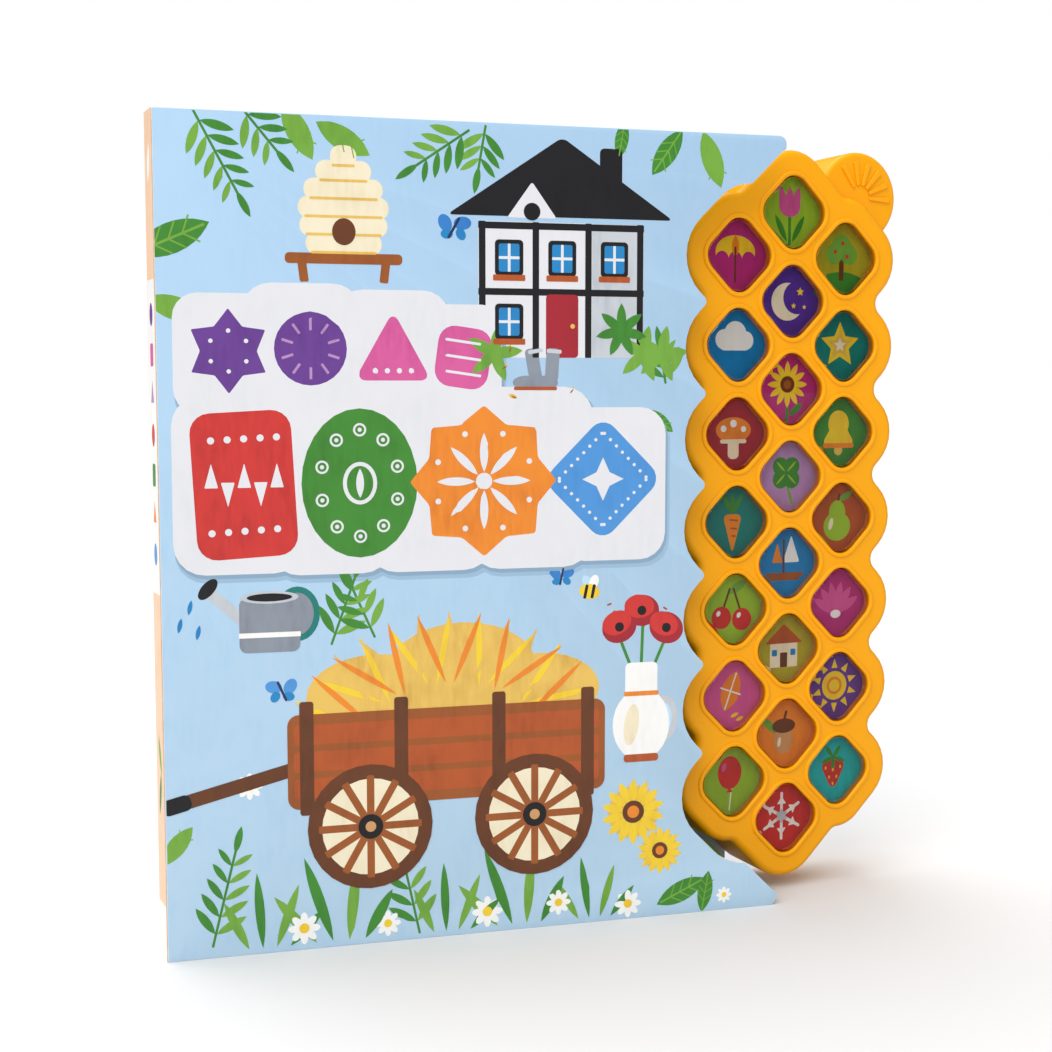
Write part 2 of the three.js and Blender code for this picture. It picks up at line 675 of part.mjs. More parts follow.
function buildBatteryDoor(bay) {
  const plate = slab(bay.doorOutline, shellBack, bay.doorInside);
  const hole = disc(SCREW_RADIUS + SCREW_GAP, shellBack + DOOR, bay.doorInside - DOOR, bay.screw, bay.middle);
  return meshOf('battery_door', cut(plate, [hole]), orangePlastic);
}

function buildCells(bay) {
  return bay.cells.map((x, i) => meshOf(`button_cell_${i + 1}`, turned([
    [0, bay.cellBack],
    [CELL_RADIUS, bay.cellBack],
    [CELL_RADIUS, bay.cellFront + CELL_HEIGHT / 4],
    [CELL_RADIUS * 0.85, bay.cellFront],
    [0, bay.cellFront],
  ], x, bay.middle), steel));
}

function buildContacts(bay) {
  const half = CELL_RADIUS / 2;
  const strip = (name, back, cells) => {
    const [left, right] = [cells[0] - half, cells.at(-1) + half];
    const outline = roundedBar(left, right, bay.middle - half, bay.middle + half, 1, 1);
    return meshOf(name, slab(outline, back, back - CONTACT), steel);
  };
  return [
    strip('door_contact', bay.doorContact, bay.cells.slice(0, 2)),
    strip('floor_contact', bay.floorContact, bay.cells.slice(-2)),
  ];
}

// The speaker lies behind its boss and sounds through the grille in the back shell
function buildSpeaker() {
  const rimBack = lidInside - SEAT_GAP;
  const rimFront = rimBack - SPEAKER_RIM;
  const basketFront = rimBack - SPEAKER_DEPTH;
  const mouth = SPEAKER_RADIUS - SPEAKER_RIM;
  const basket = cut(
    turned([
      [0, rimBack],
      [SPEAKER_RADIUS, rimBack],
      [SPEAKER_RADIUS, rimFront],
      [BASKET_RADIUS, basketFront],
      [0, basketFront],
    ], speaker.x, speaker.y, BOSS_STEPS / 2),
    [turned([
      [0, rimBack + SPEAKER_RIM],
      [mouth, rimBack + SPEAKER_RIM],
      [mouth, rimFront],
      [BASKET_RADIUS - SPEAKER_RIM, basketFront + SPEAKER_RIM],
      [0, basketFront + SPEAKER_RIM],
    ], speaker.x, speaker.y, BOSS_STEPS / 2)],
  );
  const coneRim = mouth - SEAT_GAP;
  const coneFoot = BASKET_RADIUS - SPEAKER_RIM - SEAT_GAP;
  const coneDeep = basketFront + SPEAKER_RIM + SEAT_GAP;
  const cone = turned([
    [0, coneDeep + CONE_SHEET],
    [coneFoot, coneDeep + CONE_SHEET],
    [coneRim - CONE_SHEET, rimBack - SEAT_GAP],
    [coneRim, rimBack - SEAT_GAP],
    [coneRim, rimFront],
    [coneFoot, coneDeep],
    [0, coneDeep],
  ], speaker.x, speaker.y, BOSS_STEPS / 2);
  const magnetBack = basketFront - SEAT_GAP;
  const magnet = disc(MAGNET_RADIUS, magnetBack, magnetBack - MAGNET_DEPTH, speaker.x, speaker.y);
  return [
    meshOf('speaker_frame', basket, steel),
    meshOf('speaker_cone', cone, speakerPaper),
    meshOf('speaker_magnet', magnet, steel),
  ];
}

// Two leads run from the speaker's edge to the back of the circuit board
function buildLeads() {
  const section = new THREE.Shape().absarc(0, 0, LEAD_RADIUS, 0, 2 * Math.PI);
  const speakerEnd = lidInside - SEAT_GAP - SPEAKER_DEPTH;
  const boardEnd = circuitBack + SEAT_GAP;
  const lead = (name, drop, material) => {
    const terminal = speakerEnd - SEAT_GAP - LEAD_RADIUS;
    const start = new THREE.Vector3(speaker.x - BASKET_RADIUS, terminal, speaker.y - drop);
    const end = new THREE.Vector3(moduleMiddle + COLUMN_PITCH / 2, boardEnd + LEAD_RADIUS, topRow - drop);
    const path = new THREE.CatmullRomCurve3([
      start,
      start.clone().lerp(end, 0.35).setY(speakerEnd - 2 * LEAD_RADIUS),
      start.clone().lerp(end, 0.7).setY(boardEnd + 2 * LEAD_RADIUS),
      end,
    ]);
    const geometry = new THREE.ExtrudeGeometry(section, { steps: 8, curveSegments: 3, extrudePath: path });
    return meshOf(name, toSolid(geometry), material);
  };
  return [lead('speaker_lead_red', 0, redLead), lead('speaker_lead_black', 4 * LEAD_RADIUS, blackLead)];
}

const windows = windowPlaces();
const bay = batteryBay();
const book = new THREE.Group();
book.add(
  buildFrontCover(),
  buildSpine(),
  buildPageBlock(),
  buildBackCover(bay),
  buildFrontHousing(windows),
  ...windows.map((place) => buildButton(place)),
  buildMembrane(windows),
  buildCircuitBoard(),
  buildChip(),
  buildRearHousing(bay),
  ...screwPlaces().map(({ x, z }, i) => screw(`case_screw_${i + 1}`, shellBack, x, z, SCREW_LENGTH)),
  ...buildSpeaker(),
  ...buildLeads(),
  ...buildCells(bay),
  ...buildContacts(bay),
  buildBatteryDoor(bay),
  screw('door_screw', shellBack + SCREW_HEAD_HEIGHT, bay.screw, bay.middle, SCREW_CUP_DEPTH),
);

export default book;
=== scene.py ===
# %% [markdown]
# # A sound book, dressed
# The object is a big board book that stands upright, a little open. Along its right edge runs a moulded
# plastic keypad with 22 clear push buttons and a round speaker boss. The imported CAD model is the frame: it
# says where every piece is. This notebook keeps that frame, gives each piece its finish, and models a finer
# skin where the eye needs one.

# %% Load the frame
import math
import json

import bmesh
import bpy
from mathutils import Matrix, Vector

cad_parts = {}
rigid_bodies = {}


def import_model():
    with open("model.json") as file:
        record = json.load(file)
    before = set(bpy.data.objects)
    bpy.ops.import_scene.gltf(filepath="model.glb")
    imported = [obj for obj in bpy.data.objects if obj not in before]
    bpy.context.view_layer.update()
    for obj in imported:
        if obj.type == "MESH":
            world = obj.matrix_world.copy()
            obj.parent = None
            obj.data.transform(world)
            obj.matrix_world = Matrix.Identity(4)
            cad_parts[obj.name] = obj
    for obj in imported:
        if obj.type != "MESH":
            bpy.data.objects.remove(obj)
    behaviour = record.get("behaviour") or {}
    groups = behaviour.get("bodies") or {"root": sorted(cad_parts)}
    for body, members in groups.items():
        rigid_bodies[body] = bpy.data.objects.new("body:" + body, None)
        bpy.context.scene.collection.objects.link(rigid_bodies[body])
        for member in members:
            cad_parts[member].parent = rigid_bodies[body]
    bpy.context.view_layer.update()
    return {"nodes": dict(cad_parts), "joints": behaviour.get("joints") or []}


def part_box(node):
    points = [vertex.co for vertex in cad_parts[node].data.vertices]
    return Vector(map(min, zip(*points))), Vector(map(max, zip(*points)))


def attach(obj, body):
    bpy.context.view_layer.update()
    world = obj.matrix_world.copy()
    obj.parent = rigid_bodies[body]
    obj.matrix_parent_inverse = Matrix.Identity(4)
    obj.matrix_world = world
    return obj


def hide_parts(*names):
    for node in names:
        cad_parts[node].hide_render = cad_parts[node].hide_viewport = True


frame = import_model()
MM = 0.001

# %% [markdown]
# ## Measures from the frame
# The keypad isn't placed by eye. The buttons' own boxes say where the windows are and how far apart their
# rows and columns lie, and the hinge's place comes from its joint, so a new pack moves this skin too.

# %% Read the measures
def centre(node):
    low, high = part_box(node)
    return (low + high) / 2


SIDES = {"middle": 8, "left": 7, "right": 7}
BUTTONS = [f"{side}_{number}" for side, count in SIDES.items() for number in range(1, count + 1)]
TOP = centre("button_middle_1")
COLUMN = centre("button_right_1").x - TOP.x
ROW = TOP.z - centre("button_middle_2").z
HOUSING_LOW, HOUSING_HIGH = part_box("front_housing")
JOINTS = {joint["name"]: joint for joint in frame["joints"]}
print(f"{len(BUTTONS)} buttons, columns {COLUMN / MM:.1f} mm and rows {ROW / MM:.1f} mm apart")

# %% [markdown]
# ## Hand tools
# A few small helpers stand for what a modeller does by hand: let go of everything, pick vertices, edges or
# faces by where they are, extrude, and apply a modifier. In edit mode an operator acts on all that is
# selected, so each helper leaves a clear selection behind.

# %% Selecting and applying
TINY = 0.01 * MM


def let_go():
    if bpy.context.object and bpy.context.object.mode == "EDIT":
        bpy.ops.object.mode_set(mode="OBJECT")
    bpy.ops.object.select_all(action="DESELECT")


def hold(*objects):
    let_go()
    for one in objects:
        one.select_set(True)
    bpy.context.view_layer.objects.active = objects[0]


def pick(kind, test):
    """Selects in edit mode: kind is VERT, EDGE or FACE, and test takes that element."""
    bpy.ops.mesh.select_mode(type=kind)
    bpy.ops.mesh.select_all(action="DESELECT")
    shape = bmesh.from_edit_mesh(bpy.context.object.data)
    for element in {"VERT": shape.verts, "EDGE": shape.edges, "FACE": shape.faces}[kind]:
        element.select = test(element)
    shape.select_flush_mode()
    bmesh.update_edit_mesh(bpy.context.object.data)


def drag(x=0.0, y=0.0, z=0.0):
    bpy.ops.mesh.extrude_region_move(TRANSFORM_OT_translate={"value": (x, y, z)})


def outwards():
    bpy.ops.mesh.select_all(action="SELECT")
    bpy.ops.mesh.normals_make_consistent(inside=False)
    bpy.ops.object.mode_set(mode="OBJECT")


def modify(piece, kind, **settings):
    hold(piece)
    change = piece.modifiers.new(kind.lower(), kind)
    for key, value in settings.items():
        setattr(change, key, value)
    bpy.ops.object.modifier_apply(modifier=change.name)


def carve(piece, tool, operation):
    """Cuts, joins or keeps with a second solid, which is used up."""
    modify(piece, "BOOLEAN", operation=operation, object=tool, solver="EXACT")
    bpy.data.objects.remove(tool)


def settle(piece, name, angle=35):
    """Names a piece, puts its place into its mesh and smooths what is rounded."""
    hold(piece)
    bpy.ops.object.transform_apply(location=True, rotation=True, scale=True)
    piece.name = piece.data.name = name
    bpy.ops.object.shade_smooth_by_angle(angle=math.radians(angle))


# %% [markdown]
# ## Outlines with rounded corners
# Nearly every piece of the book is a flat outline that was die-cut or moulded, so one helper draws them all.
# It adds a filled circle with as many corners as the outline has, moves each corner to its place, and rounds
# the corners with a vertex bevel. A bevel's offset runs along the edge, so a corner that turns by t needs the
# radius times tan(t / 2). Growing an outline moves each edge sideways, and rounds outer corners more and
# inner corners less, as a real wall of even thickness does.

# %% Draw and grow an outline
ROUND_STEPS = 8
UPRIGHT = (math.pi / 2, 0, 0)


def turn_at(corners, i):
    before, here, after = (Vector(corners[(i + step) % len(corners)][:2]) for step in (-1, 0, 1))
    one, two = (here - before).normalized(), (after - here).normalized()
    return one, two, math.atan2(one.x * two.y - one.y * two.x, one.dot(two))


def grow(corners, distance):
    """Corners are (x, z, radius), clockwise as seen from the front."""
    grown = []
    for i, (x, z, radius) in enumerate(corners):
        one, two, turn = turn_at(corners, i)
        side = (Vector((-one.y, one.x)) + Vector((-two.y, two.x))).normalized()
        reach = distance / math.cos(turn / 2)
        changed = max(radius + math.copysign(distance, -turn), 0) if radius else 0
        grown.append((x + side.x * reach, z + side.y * reach, changed))
    return grown


def outline(corners, y, steps=ROUND_STEPS):
    """A flat filled outline at depth y, in edit mode and selected."""
    let_go()
    bpy.ops.mesh.primitive_circle_add(vertices=len(corners), fill_type="NGON", rotation=UPRIGHT)
    bpy.ops.object.transform_apply(location=True, rotation=True, scale=True)
    piece = bpy.context.object
    for vertex, (x, z, _) in zip(piece.data.vertices, corners):
        vertex.co = (x, y, z)
    bpy.ops.object.mode_set(mode="EDIT")
    bevels = {}
    for i, (x, z, radius) in enumerate(corners):
        offset = round(radius * math.tan(abs(turn_at(corners, i)[2]) / 2), 7)
        bevels.setdefault(offset, []).append(Vector((x, y, z)))
    for offset, places in bevels.items():
        if offset:
            pick("VERT", lambda v: any((v.co - place).length < TINY for place in places))
            bpy.ops.mesh.bevel(offset=offset, segments=steps, affect="VERTICES", profile=0.5)
    bpy.ops.mesh.select_all(action="SELECT")
    return piece


def slab(corners, front, back, steps=ROUND_STEPS):
    """A solid between two depths, left in edit mode with its faces outwards."""
    piece = outline(corners, front, steps)
    drag(y=back - front)
    bpy.ops.mesh.select_all(action="SELECT")
    bpy.ops.mesh.normals_make_consistent(inside=False)
    return piece


def round_rim(depth, width, segments):
    """Bevels the edges that lie in the plane at that depth."""
    pick("EDGE", lambda e: all(abs(v.co.y - depth) < TINY for v in e.verts) and e.calc_face_angle(0) > 1)
    bpy.ops.mesh.bevel(offset=width, segments=segments, affect="EDGES", profile=0.5, clamp_overlap=True)


# %% [markdown]
# ## Camera, floor and light
# The camera stands where the photographer stood: a little above the middle, to the left, looking down by
# five degrees. A wide soft light from the upper left, another from above and behind, and a white world stand
# for a studio tent. None of them fades with distance, so the floor stays evenly pale up to the horizon and
# only the object's own shadow marks it. Reflections see a darker room, which keeps the plastic's colour deep.

# %% Camera
CAMERA_PLACE = (-229.47 * MM, -571.40 * MM, 205.98 * MM)
CAMERA_DOWN, CAMERA_LEFT = math.radians(5.028), math.radians(-23.973)
LENS, SENSOR = 55.34, 36.0

camera = bpy.data.objects.new("camera", bpy.data.cameras.new("camera"))
bpy.context.scene.collection.objects.link(camera)
camera.location = CAMERA_PLACE
camera.rotation_euler = (math.pi / 2 - CAMERA_DOWN, 0, CAMERA_LEFT)
camera.data.lens, camera.data.sensor_width = LENS, SENSOR
camera.data.clip_start = 0.01
bpy.context.scene.camera = camera
bpy.context.scene.view_settings.view_transform = "Standard"
print("camera at", [round(c, 3) for c in CAMERA_PLACE], "lens", LENS)

# %% Light
FRONT_STRENGTH, FRONT_SPREAD, FRONT_TURN = 1.9, 50, (48, 0, -52)
TOP_STRENGTH, TOP_SPREAD, TOP_TURN = 2.2, 60, (-20, -12, 0)
WORLD_STRENGTH, MIRRORED_WORLD = 0.6, 0.14


def soft_light(name, strength, spread, turn):
    """A sun whose disc is spread degrees wide, turned by degrees."""
    lamp = bpy.data.objects.new(name, bpy.data.lights.new(name, "SUN"))
    bpy.context.scene.collection.objects.link(lamp)
    lamp.data.energy, lamp.data.angle = strength, math.radians(spread)
    lamp.rotation_euler = [math.radians(angle) for angle in turn]


soft_light("front_light", FRONT_STRENGTH, FRONT_SPREAD, FRONT_TURN)
soft_light("top_light", TOP_STRENGTH, TOP_SPREAD, TOP_TURN)


def node(tree, kind, inputs=None, **settings):
    """Adds a shader node. Inputs maps a socket's name or number to a value or to another node's output."""
    made = tree.nodes.new("ShaderNode" + kind)
    for key, value in settings.items():
        setattr(made, key, value)
    for socket, value in (inputs or {}).items():
        if isinstance(value, bpy.types.NodeSocket):
            tree.links.new(value, made.inputs[socket])
        else:
            made.inputs[socket].default_value = value
    return made


def ranged(tree, value, low=0.0, high=1.0, start=0.0, end=1.0):
    """Maps a value that runs from start to end onto low to high."""
    sockets = {"Value": value, "From Min": start, "From Max": end, "To Min": low, "To Max": high}
    return node(tree, "MapRange", sockets).outputs[0]


def by_ray(tree, lighting, mirrored, direct):
    """One brightness to light surfaces, one in reflections, one for the camera and through clear plastic."""
    path = node(tree, "LightPath")
    seen = node(tree, "Math", {0: path.outputs["Is Camera Ray"], 1: path.outputs["Is Transmission Ray"]})
    unseen = ranged(tree, path.outputs["Is Glossy Ray"], lighting, mirrored)
    return ranged(tree, seen.outputs[0], unseen, direct)


world = bpy.data.worlds.new("studio")
bpy.context.scene.world = world
world.use_nodes = True
background = world.node_tree.nodes["Background"]
background.inputs["Color"].default_value = (1, 1, 1, 1)
level = by_ray(world.node_tree, WORLD_STRENGTH, MIRRORED_WORLD, 1.0)
world.node_tree.links.new(level, background.inputs["Strength"])
print("front light", FRONT_STRENGTH, "world", WORLD_STRENGTH, "in reflections", MIRRORED_WORLD)

# %% Floor
FLOOR_SIZE, FLOOR_PALE, FLOOR_BOUNCE, FLOOR_MIRRORED = 60.0, 0.68, 0.65, 0.3
MIX_A, MIX_B, MIX_OUT = 6, 7, 2


def fresh_material(name):
    made = bpy.data.materials.new(name)
    made.use_nodes = True
    return made, made.node_tree, made.node_tree.nodes["Principled BSDF"]


let_go()
bpy.ops.mesh.primitive_plane_add(size=FLOOR_SIZE)
floor = bpy.context.object
floor.name = "floor"
paper, tree, shader = fresh_material("backdrop_paper")
tree.links.new(by_ray(tree, FLOOR_BOUNCE, FLOOR_MIRRORED, FLOOR_PALE), shader.inputs["Base Color"])
shader.inputs["Roughness"].default_value = 1.0
shader.inputs["Specular IOR Level"].default_value = 0.0
floor.data.materials.append(paper)
print("floor", FLOOR_SIZE, "m wide")

# %% [markdown]
# ## Shared effects
# Three effects come back in most finishes, so each is a node group with named sockets. Moulded grain is the
# faint orange peel of a plastic shell. Printed ink is colour with the slow mottling of a painted picture.
# Board fibre is the fuzzy, layered look of cut board. Each group puts out colours or values only, and the
# material keeps its own shader.

# %% Build the groups
def colour(code):
    """A colour as a shader wants it, from its usual six-digit code."""
    parts = [int(code[i:i + 2], 16) / 255 for i in (0, 2, 4)]
    return tuple(p / 12.92 if p <= 0.04045 else ((p + 0.055) / 1.055) ** 2.4 for p in parts) + (1.0,)


def group(name, inputs, outputs):
    tree = bpy.data.node_groups.new(name, "ShaderNodeTree")
    for label, kind, value in inputs:
        socket = tree.interface.new_socket(label, in_out="INPUT", socket_type="NodeSocket" + kind)
        socket.default_value = value
    for label, kind in outputs:
        tree.interface.new_socket(label, in_out="OUTPUT", socket_type="NodeSocket" + kind)
    return tree, tree.nodes.new("NodeGroupInput"), tree.nodes.new("NodeGroupOutput")


def placed(tree, stretch=(1, 1, 1), shift=(0, 0, 0)):
    """Object coordinates, stretched and shifted."""
    spot = node(tree, "TexCoord").outputs["Object"]
    return node(tree, "Mapping", {"Vector": spot, "Scale": stretch, "Location": shift}).outputs[0]


def noise(tree, scale, detail=2.0, stretch=(1, 1, 1)):
    sockets = {"Vector": placed(tree, stretch), "Scale": scale, "Detail": detail}
    return node(tree, "TexNoise", sockets).outputs["Fac"]


def mix(tree, factor, first, second):
    return node(tree, "Mix", {0: factor, MIX_A: first, MIX_B: second}, data_type="RGBA").outputs[MIX_OUT]


def times(tree, first, second):
    return node(tree, "Math", {0: first, 1: second}, operation="MULTIPLY").outputs[0]


def emboss(tree, shader, height, strength, depth):
    relief = node(tree, "Bump", {"Height": height, "Strength": strength, "Distance": depth})
    tree.links.new(relief.outputs[0], shader.inputs["Normal"])


GRAIN_SCALE, CLOUD_SCALE, MOTTLE_SCALE, STROKE_SCALE, FIBRE_SCALE = 2600, 22, 60, 420, 1500
STROKE_STRETCH, FIBRE_STRETCH = (1, 1, 0.25), (0.2, 1.0, 0.2)

moulded, given, result = group(
    "moulded_grain", [("Colour", "Color", (1, 1, 1, 1)), ("Shade", "Float", 0.08)],
    [("Colour", "Color"), ("Roughness", "Float"), ("Height", "Float")])
plain = given.outputs["Colour"]
darker = node(moulded, "HueSaturation", {"Color": plain, "Value": 0.86, "Saturation": 1.06}).outputs[0]
amount = times(moulded, noise(moulded, CLOUD_SCALE), given.outputs["Shade"])
moulded.links.new(mix(moulded, amount, plain, darker), result.inputs["Colour"])
moulded.links.new(ranged(moulded, noise(moulded, MOTTLE_SCALE), 0.30, 0.42), result.inputs["Roughness"])
moulded.links.new(noise(moulded, GRAIN_SCALE), result.inputs["Height"])

printed, given, result = group(
    "printed_ink", [("Colour", "Color", (1, 1, 1, 1)), ("Deeper", "Color", (0.5, 0.5, 0.5, 1)),
                    ("Mottle", "Float", 0.5)],
    [("Colour", "Color"), ("Height", "Float")])
patches = ranged(printed, noise(printed, MOTTLE_SCALE), start=0.35, end=0.65)
strokes = ranged(printed, noise(printed, STROKE_SCALE, 3.0, STROKE_STRETCH), start=0.3, end=0.7)
share = times(printed, times(printed, patches, strokes), given.outputs["Mottle"])
inked = mix(printed, share, given.outputs["Colour"], given.outputs["Deeper"])
printed.links.new(inked, result.inputs["Colour"])
printed.links.new(strokes, result.inputs["Height"])

fibred, given, result = group(
    "board_fibre", [("Colour", "Color", (1, 1, 1, 1)), ("Fleck", "Color", (0.6, 0.6, 0.6, 1))],
    [("Colour", "Color"), ("Height", "Float")])
layers = noise(fibred, FIBRE_SCALE, 4.0, FIBRE_STRETCH)
flecks = ranged(fibred, layers, high=0.6, start=0.45, end=0.75)
fibres = mix(fibred, flecks, given.outputs["Colour"], given.outputs["Fleck"])
fibred.links.new(fibres, result.inputs["Colour"])
fibred.links.new(layers, result.inputs["Height"])
print("groups:", [g.name for g in bpy.data.node_groups])


# %% Make a material around a group
def finish_with(group_tree, name, sockets, bump=0.0, depth=0.01 * MM, **shader_values):
    """A material whose colour, roughness and bump come from a group, with set values on its own shader."""
    made, tree, shader = fresh_material(name)
    effect = node(tree, "Group", node_tree=group_tree)
    for label, value in sockets.items():
        effect.inputs[label].default_value = value
    tree.links.new(effect.outputs["Colour"], shader.inputs["Base Color"])
    for label, value in shader_values.items():
        shader.inputs[label.replace("_", " ")].default_value = value
    if "Roughness" in effect.outputs:
        tree.links.new(effect.outputs["Roughness"], shader.inputs["Roughness"])
    if bump:
        emboss(tree, shader, effect.outputs["Height"], bump, depth)
    return made


def ink(name, code, deeper, shine):
    """A flat printed colour under a satin laminate."""
    return finish_with(printed, "ink_" + name, {"Colour": colour(code), "Deeper": colour(deeper)}, bump=0.15,
                       Roughness=0.42, Specular_IOR_Level=0.5 * shine, Coat_Weight=0.25 * shine,
                       Coat_Roughness=0.22)


def dress(piece, *materials):
    piece.data.materials.clear()
    for one in materials:
        piece.data.materials.append(one)


HOUSING = finish_with(moulded, "amber_plastic", {"Colour": colour("faa902"), "Shade": 0.5}, bump=0.35,
                      Specular_IOR_Level=0.22)
print("first material:", HOUSING.name)

# %% [markdown]
# ## The moulded front shell
# This is the piece that takes the most skill: one injection moulding with a scalloped outline, a soft 3 mm
# edge, 22 windows with a raised bead, and a set-back round boss with six rays. It is modelled as a mould
# maker would: an outer solid and the boss are joined, a smaller inner solid is cut out so that an even wall
# stays, the windows are cut, and the beads, their collars and the rays are joined on last.

# %% The shell's measures
WINDOW_TIP, WINDOW_CORNER = 17.3 * MM, 7 * MM
PLATE_MARGIN, LOBE_CORNER, LOBE_NOTCH = 10.1 * MM, 17 * MM, 5 * MM
SHOULDER_CORNER, SHOULDER_NOTCH = 13 * MM, 4 * MM
FILLET, WALL = 3 * MM, 2.2 * MM
BEAD_WIDTH, BEAD_HEIGHT, BEAD_ROUND = 1.9 * MM, 0.8 * MM, 0.78 * MM
COLLAR_DEPTH, BOSS_SET_BACK, BOSS_RADIUS, BOSS_FILLET = 6 * MM, 5 * MM, 18.3 * MM, 2 * MM
SPEAKER_ACROSS, SPEAKER_UP = 34 * MM, 7.7 * MM
PLATE = HOUSING_LOW.y + BEAD_HEIGHT
SHELL_BACK = HOUSING_HIGH.y
BOSS_FACE = PLATE + BOSS_SET_BACK
SPEAKER = Vector((TOP.x + SPEAKER_ACROSS, 0, TOP.z + SPEAKER_UP))
REACH = 1 * MM


def window(x, z, wider=0.0):
    tip = WINDOW_TIP
    corners = [(x, z + tip, WINDOW_CORNER), (x + tip, z, WINDOW_CORNER),
               (x, z - tip, WINDOW_CORNER), (x - tip, z, WINDOW_CORNER)]
    return grow(corners, wider)


def scallops(x, z, rows=SIDES["right"]):
    """The keypad's outline round a top window at x, z, clockwise from the top."""
    tip = WINDOW_TIP + PLATE_MARGIN * math.sqrt(2)
    shoulder = tip - LOBE_CORNER * (math.sqrt(2) - 1) - ROW / 2
    right = [(tip - shoulder, shoulder, SHOULDER_NOTCH),
             (COLUMN + tip - shoulder - ROW / 2, shoulder, SHOULDER_CORNER)]
    for row in range(rows):
        middle = -ROW / 2 - row * ROW
        right.append((COLUMN + tip, middle, LOBE_CORNER))
        right.append((COLUMN + tip - ROW / 2, middle - ROW / 2, LOBE_NOTCH))
    foot = -rows * ROW
    right = right[:-1] + [(side, foot - height, radius) for side, height, radius in reversed(right[:2])]
    left = [(-side, height, radius) for side, height, radius in reversed(right)]
    loop = [(0, tip, LOBE_CORNER)] + right + [(0, foot - tip, LOBE_CORNER)] + left
    return [(x + side, z + height, radius) for side, height, radius in loop]


PLATE_OUTLINE = scallops(TOP.x, TOP.z)
edge_of_plate = max(corner[0] for corner in PLATE_OUTLINE)
print(len(PLATE_OUTLINE), "corners; tip to tip", round((edge_of_plate - TOP.x) * 2 / MM, 1), "mm")

# %% Outer and inner solids
def round_bar(place, radius, front, back, sides=96):
    """A solid disc that faces the front."""
    let_go()
    middle = Vector((place.x, (front + back) / 2, place.z))
    bpy.ops.mesh.primitive_cylinder_add(vertices=sides, radius=radius, depth=back - front, location=middle,
                                        rotation=UPRIGHT)
    bpy.ops.object.transform_apply(location=True, rotation=True, scale=True)
    bpy.ops.object.mode_set(mode="EDIT")
    return bpy.context.object


shell = slab(PLATE_OUTLINE, PLATE, SHELL_BACK)
round_rim(PLATE, FILLET, 6)
outwards()
boss = round_bar(SPEAKER, BOSS_RADIUS, BOSS_FACE, SHELL_BACK)
round_rim(BOSS_FACE, BOSS_FILLET, 5)
outwards()
carve(shell, boss, "UNION")

room = slab(grow(PLATE_OUTLINE, -WALL), PLATE + WALL, SHELL_BACK + REACH)
outwards()
boss_room = round_bar(SPEAKER, BOSS_RADIUS - WALL, BOSS_FACE + WALL, SHELL_BACK + REACH)
outwards()
carve(room, boss_room, "UNION")
carve(shell, room, "DIFFERENCE")
print("shell before the windows:", len(shell.data.vertices), "vertices")

# %% Windows, beads and rays
RAY_ANGLES = [-31.7, -7.1, 17.5, 42.1, 66.7, 91.3]
RAY_START, RAY_END, RAY_HEIGHT = 5 * MM, 14.7 * MM, 0.9 * MM
RAY_START_WIDTH, RAY_END_WIDTH, RAY_SINK = 1.3 * MM, 2.4 * MM, 0.4 * MM


def copies(piece, places, start):
    """Copies of a piece, moved from its start to each place, joined to one mesh."""
    made = []
    for place in places:
        twin = piece.copy()
        twin.data = piece.data.copy()
        twin.data.transform(Matrix.Translation((place.x - start.x, 0, place.z - start.z)))
        bpy.context.scene.collection.objects.link(twin)
        made.append(twin)
    bpy.data.objects.remove(piece)
    hold(*made)
    bpy.ops.object.join()
    return bpy.context.object


places = [centre("button_" + name) for name in BUTTONS]
cutter = slab(window(TOP.x, TOP.z, BEAD_WIDTH / 2), PLATE - REACH, PLATE + WALL + REACH)
outwards()
carve(shell, copies(cutter, places, TOP), "DIFFERENCE")

bead = outline(window(TOP.x, TOP.z, BEAD_WIDTH), HOUSING_LOW.y)
bpy.ops.mesh.inset(thickness=BEAD_WIDTH, use_even_offset=True)
bpy.ops.mesh.delete(type="FACE")
bpy.ops.mesh.select_all(action="SELECT")
drag(y=COLLAR_DEPTH + BEAD_HEIGHT)
bpy.ops.mesh.select_all(action="SELECT")
bpy.ops.mesh.normals_make_consistent(inside=False)
round_rim(HOUSING_LOW.y, BEAD_ROUND, 4)
outwards()
beads = copies(bead, places, TOP)


def ray(angle):
    """A low bar that widens outwards, with soft top edges."""
    start, end = RAY_START_WIDTH / 2, RAY_END_WIDTH / 2
    bar = slab([(-start, RAY_START, start / 2), (-end, RAY_END, end / 2), (end, RAY_END, end / 2),
                (start, RAY_START, start / 2)], BOSS_FACE - RAY_HEIGHT, BOSS_FACE + RAY_SINK, 3)
    round_rim(BOSS_FACE - RAY_HEIGHT, RAY_START_WIDTH / 4, 3)
    outwards()
    bar.data.transform(Matrix.Translation(SPEAKER) @ Matrix.Rotation(math.radians(angle), 4, "Y"))
    return bar


rays = [ray(angle) for angle in RAY_ANGLES]
hold(beads, *rays)
bpy.ops.object.join()
carve(shell, beads, "UNION")
settle(shell, "keypad_shell")
modify(shell, "WEIGHTED_NORMAL", keep_sharp=True)
dress(shell, HOUSING)
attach(shell, "root")
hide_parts("front_housing")
print("keypad shell:", len(shell.data.vertices), "vertices,", len(shell.data.polygons), "faces")

# %% [markdown]
# ## The inks
# Every picture on the book is a flat print: fields of colour with a little painted mottling. One list holds
# the inks, each with the deeper tone that its mottling drifts to, and a material is made when an ink is first
# used.

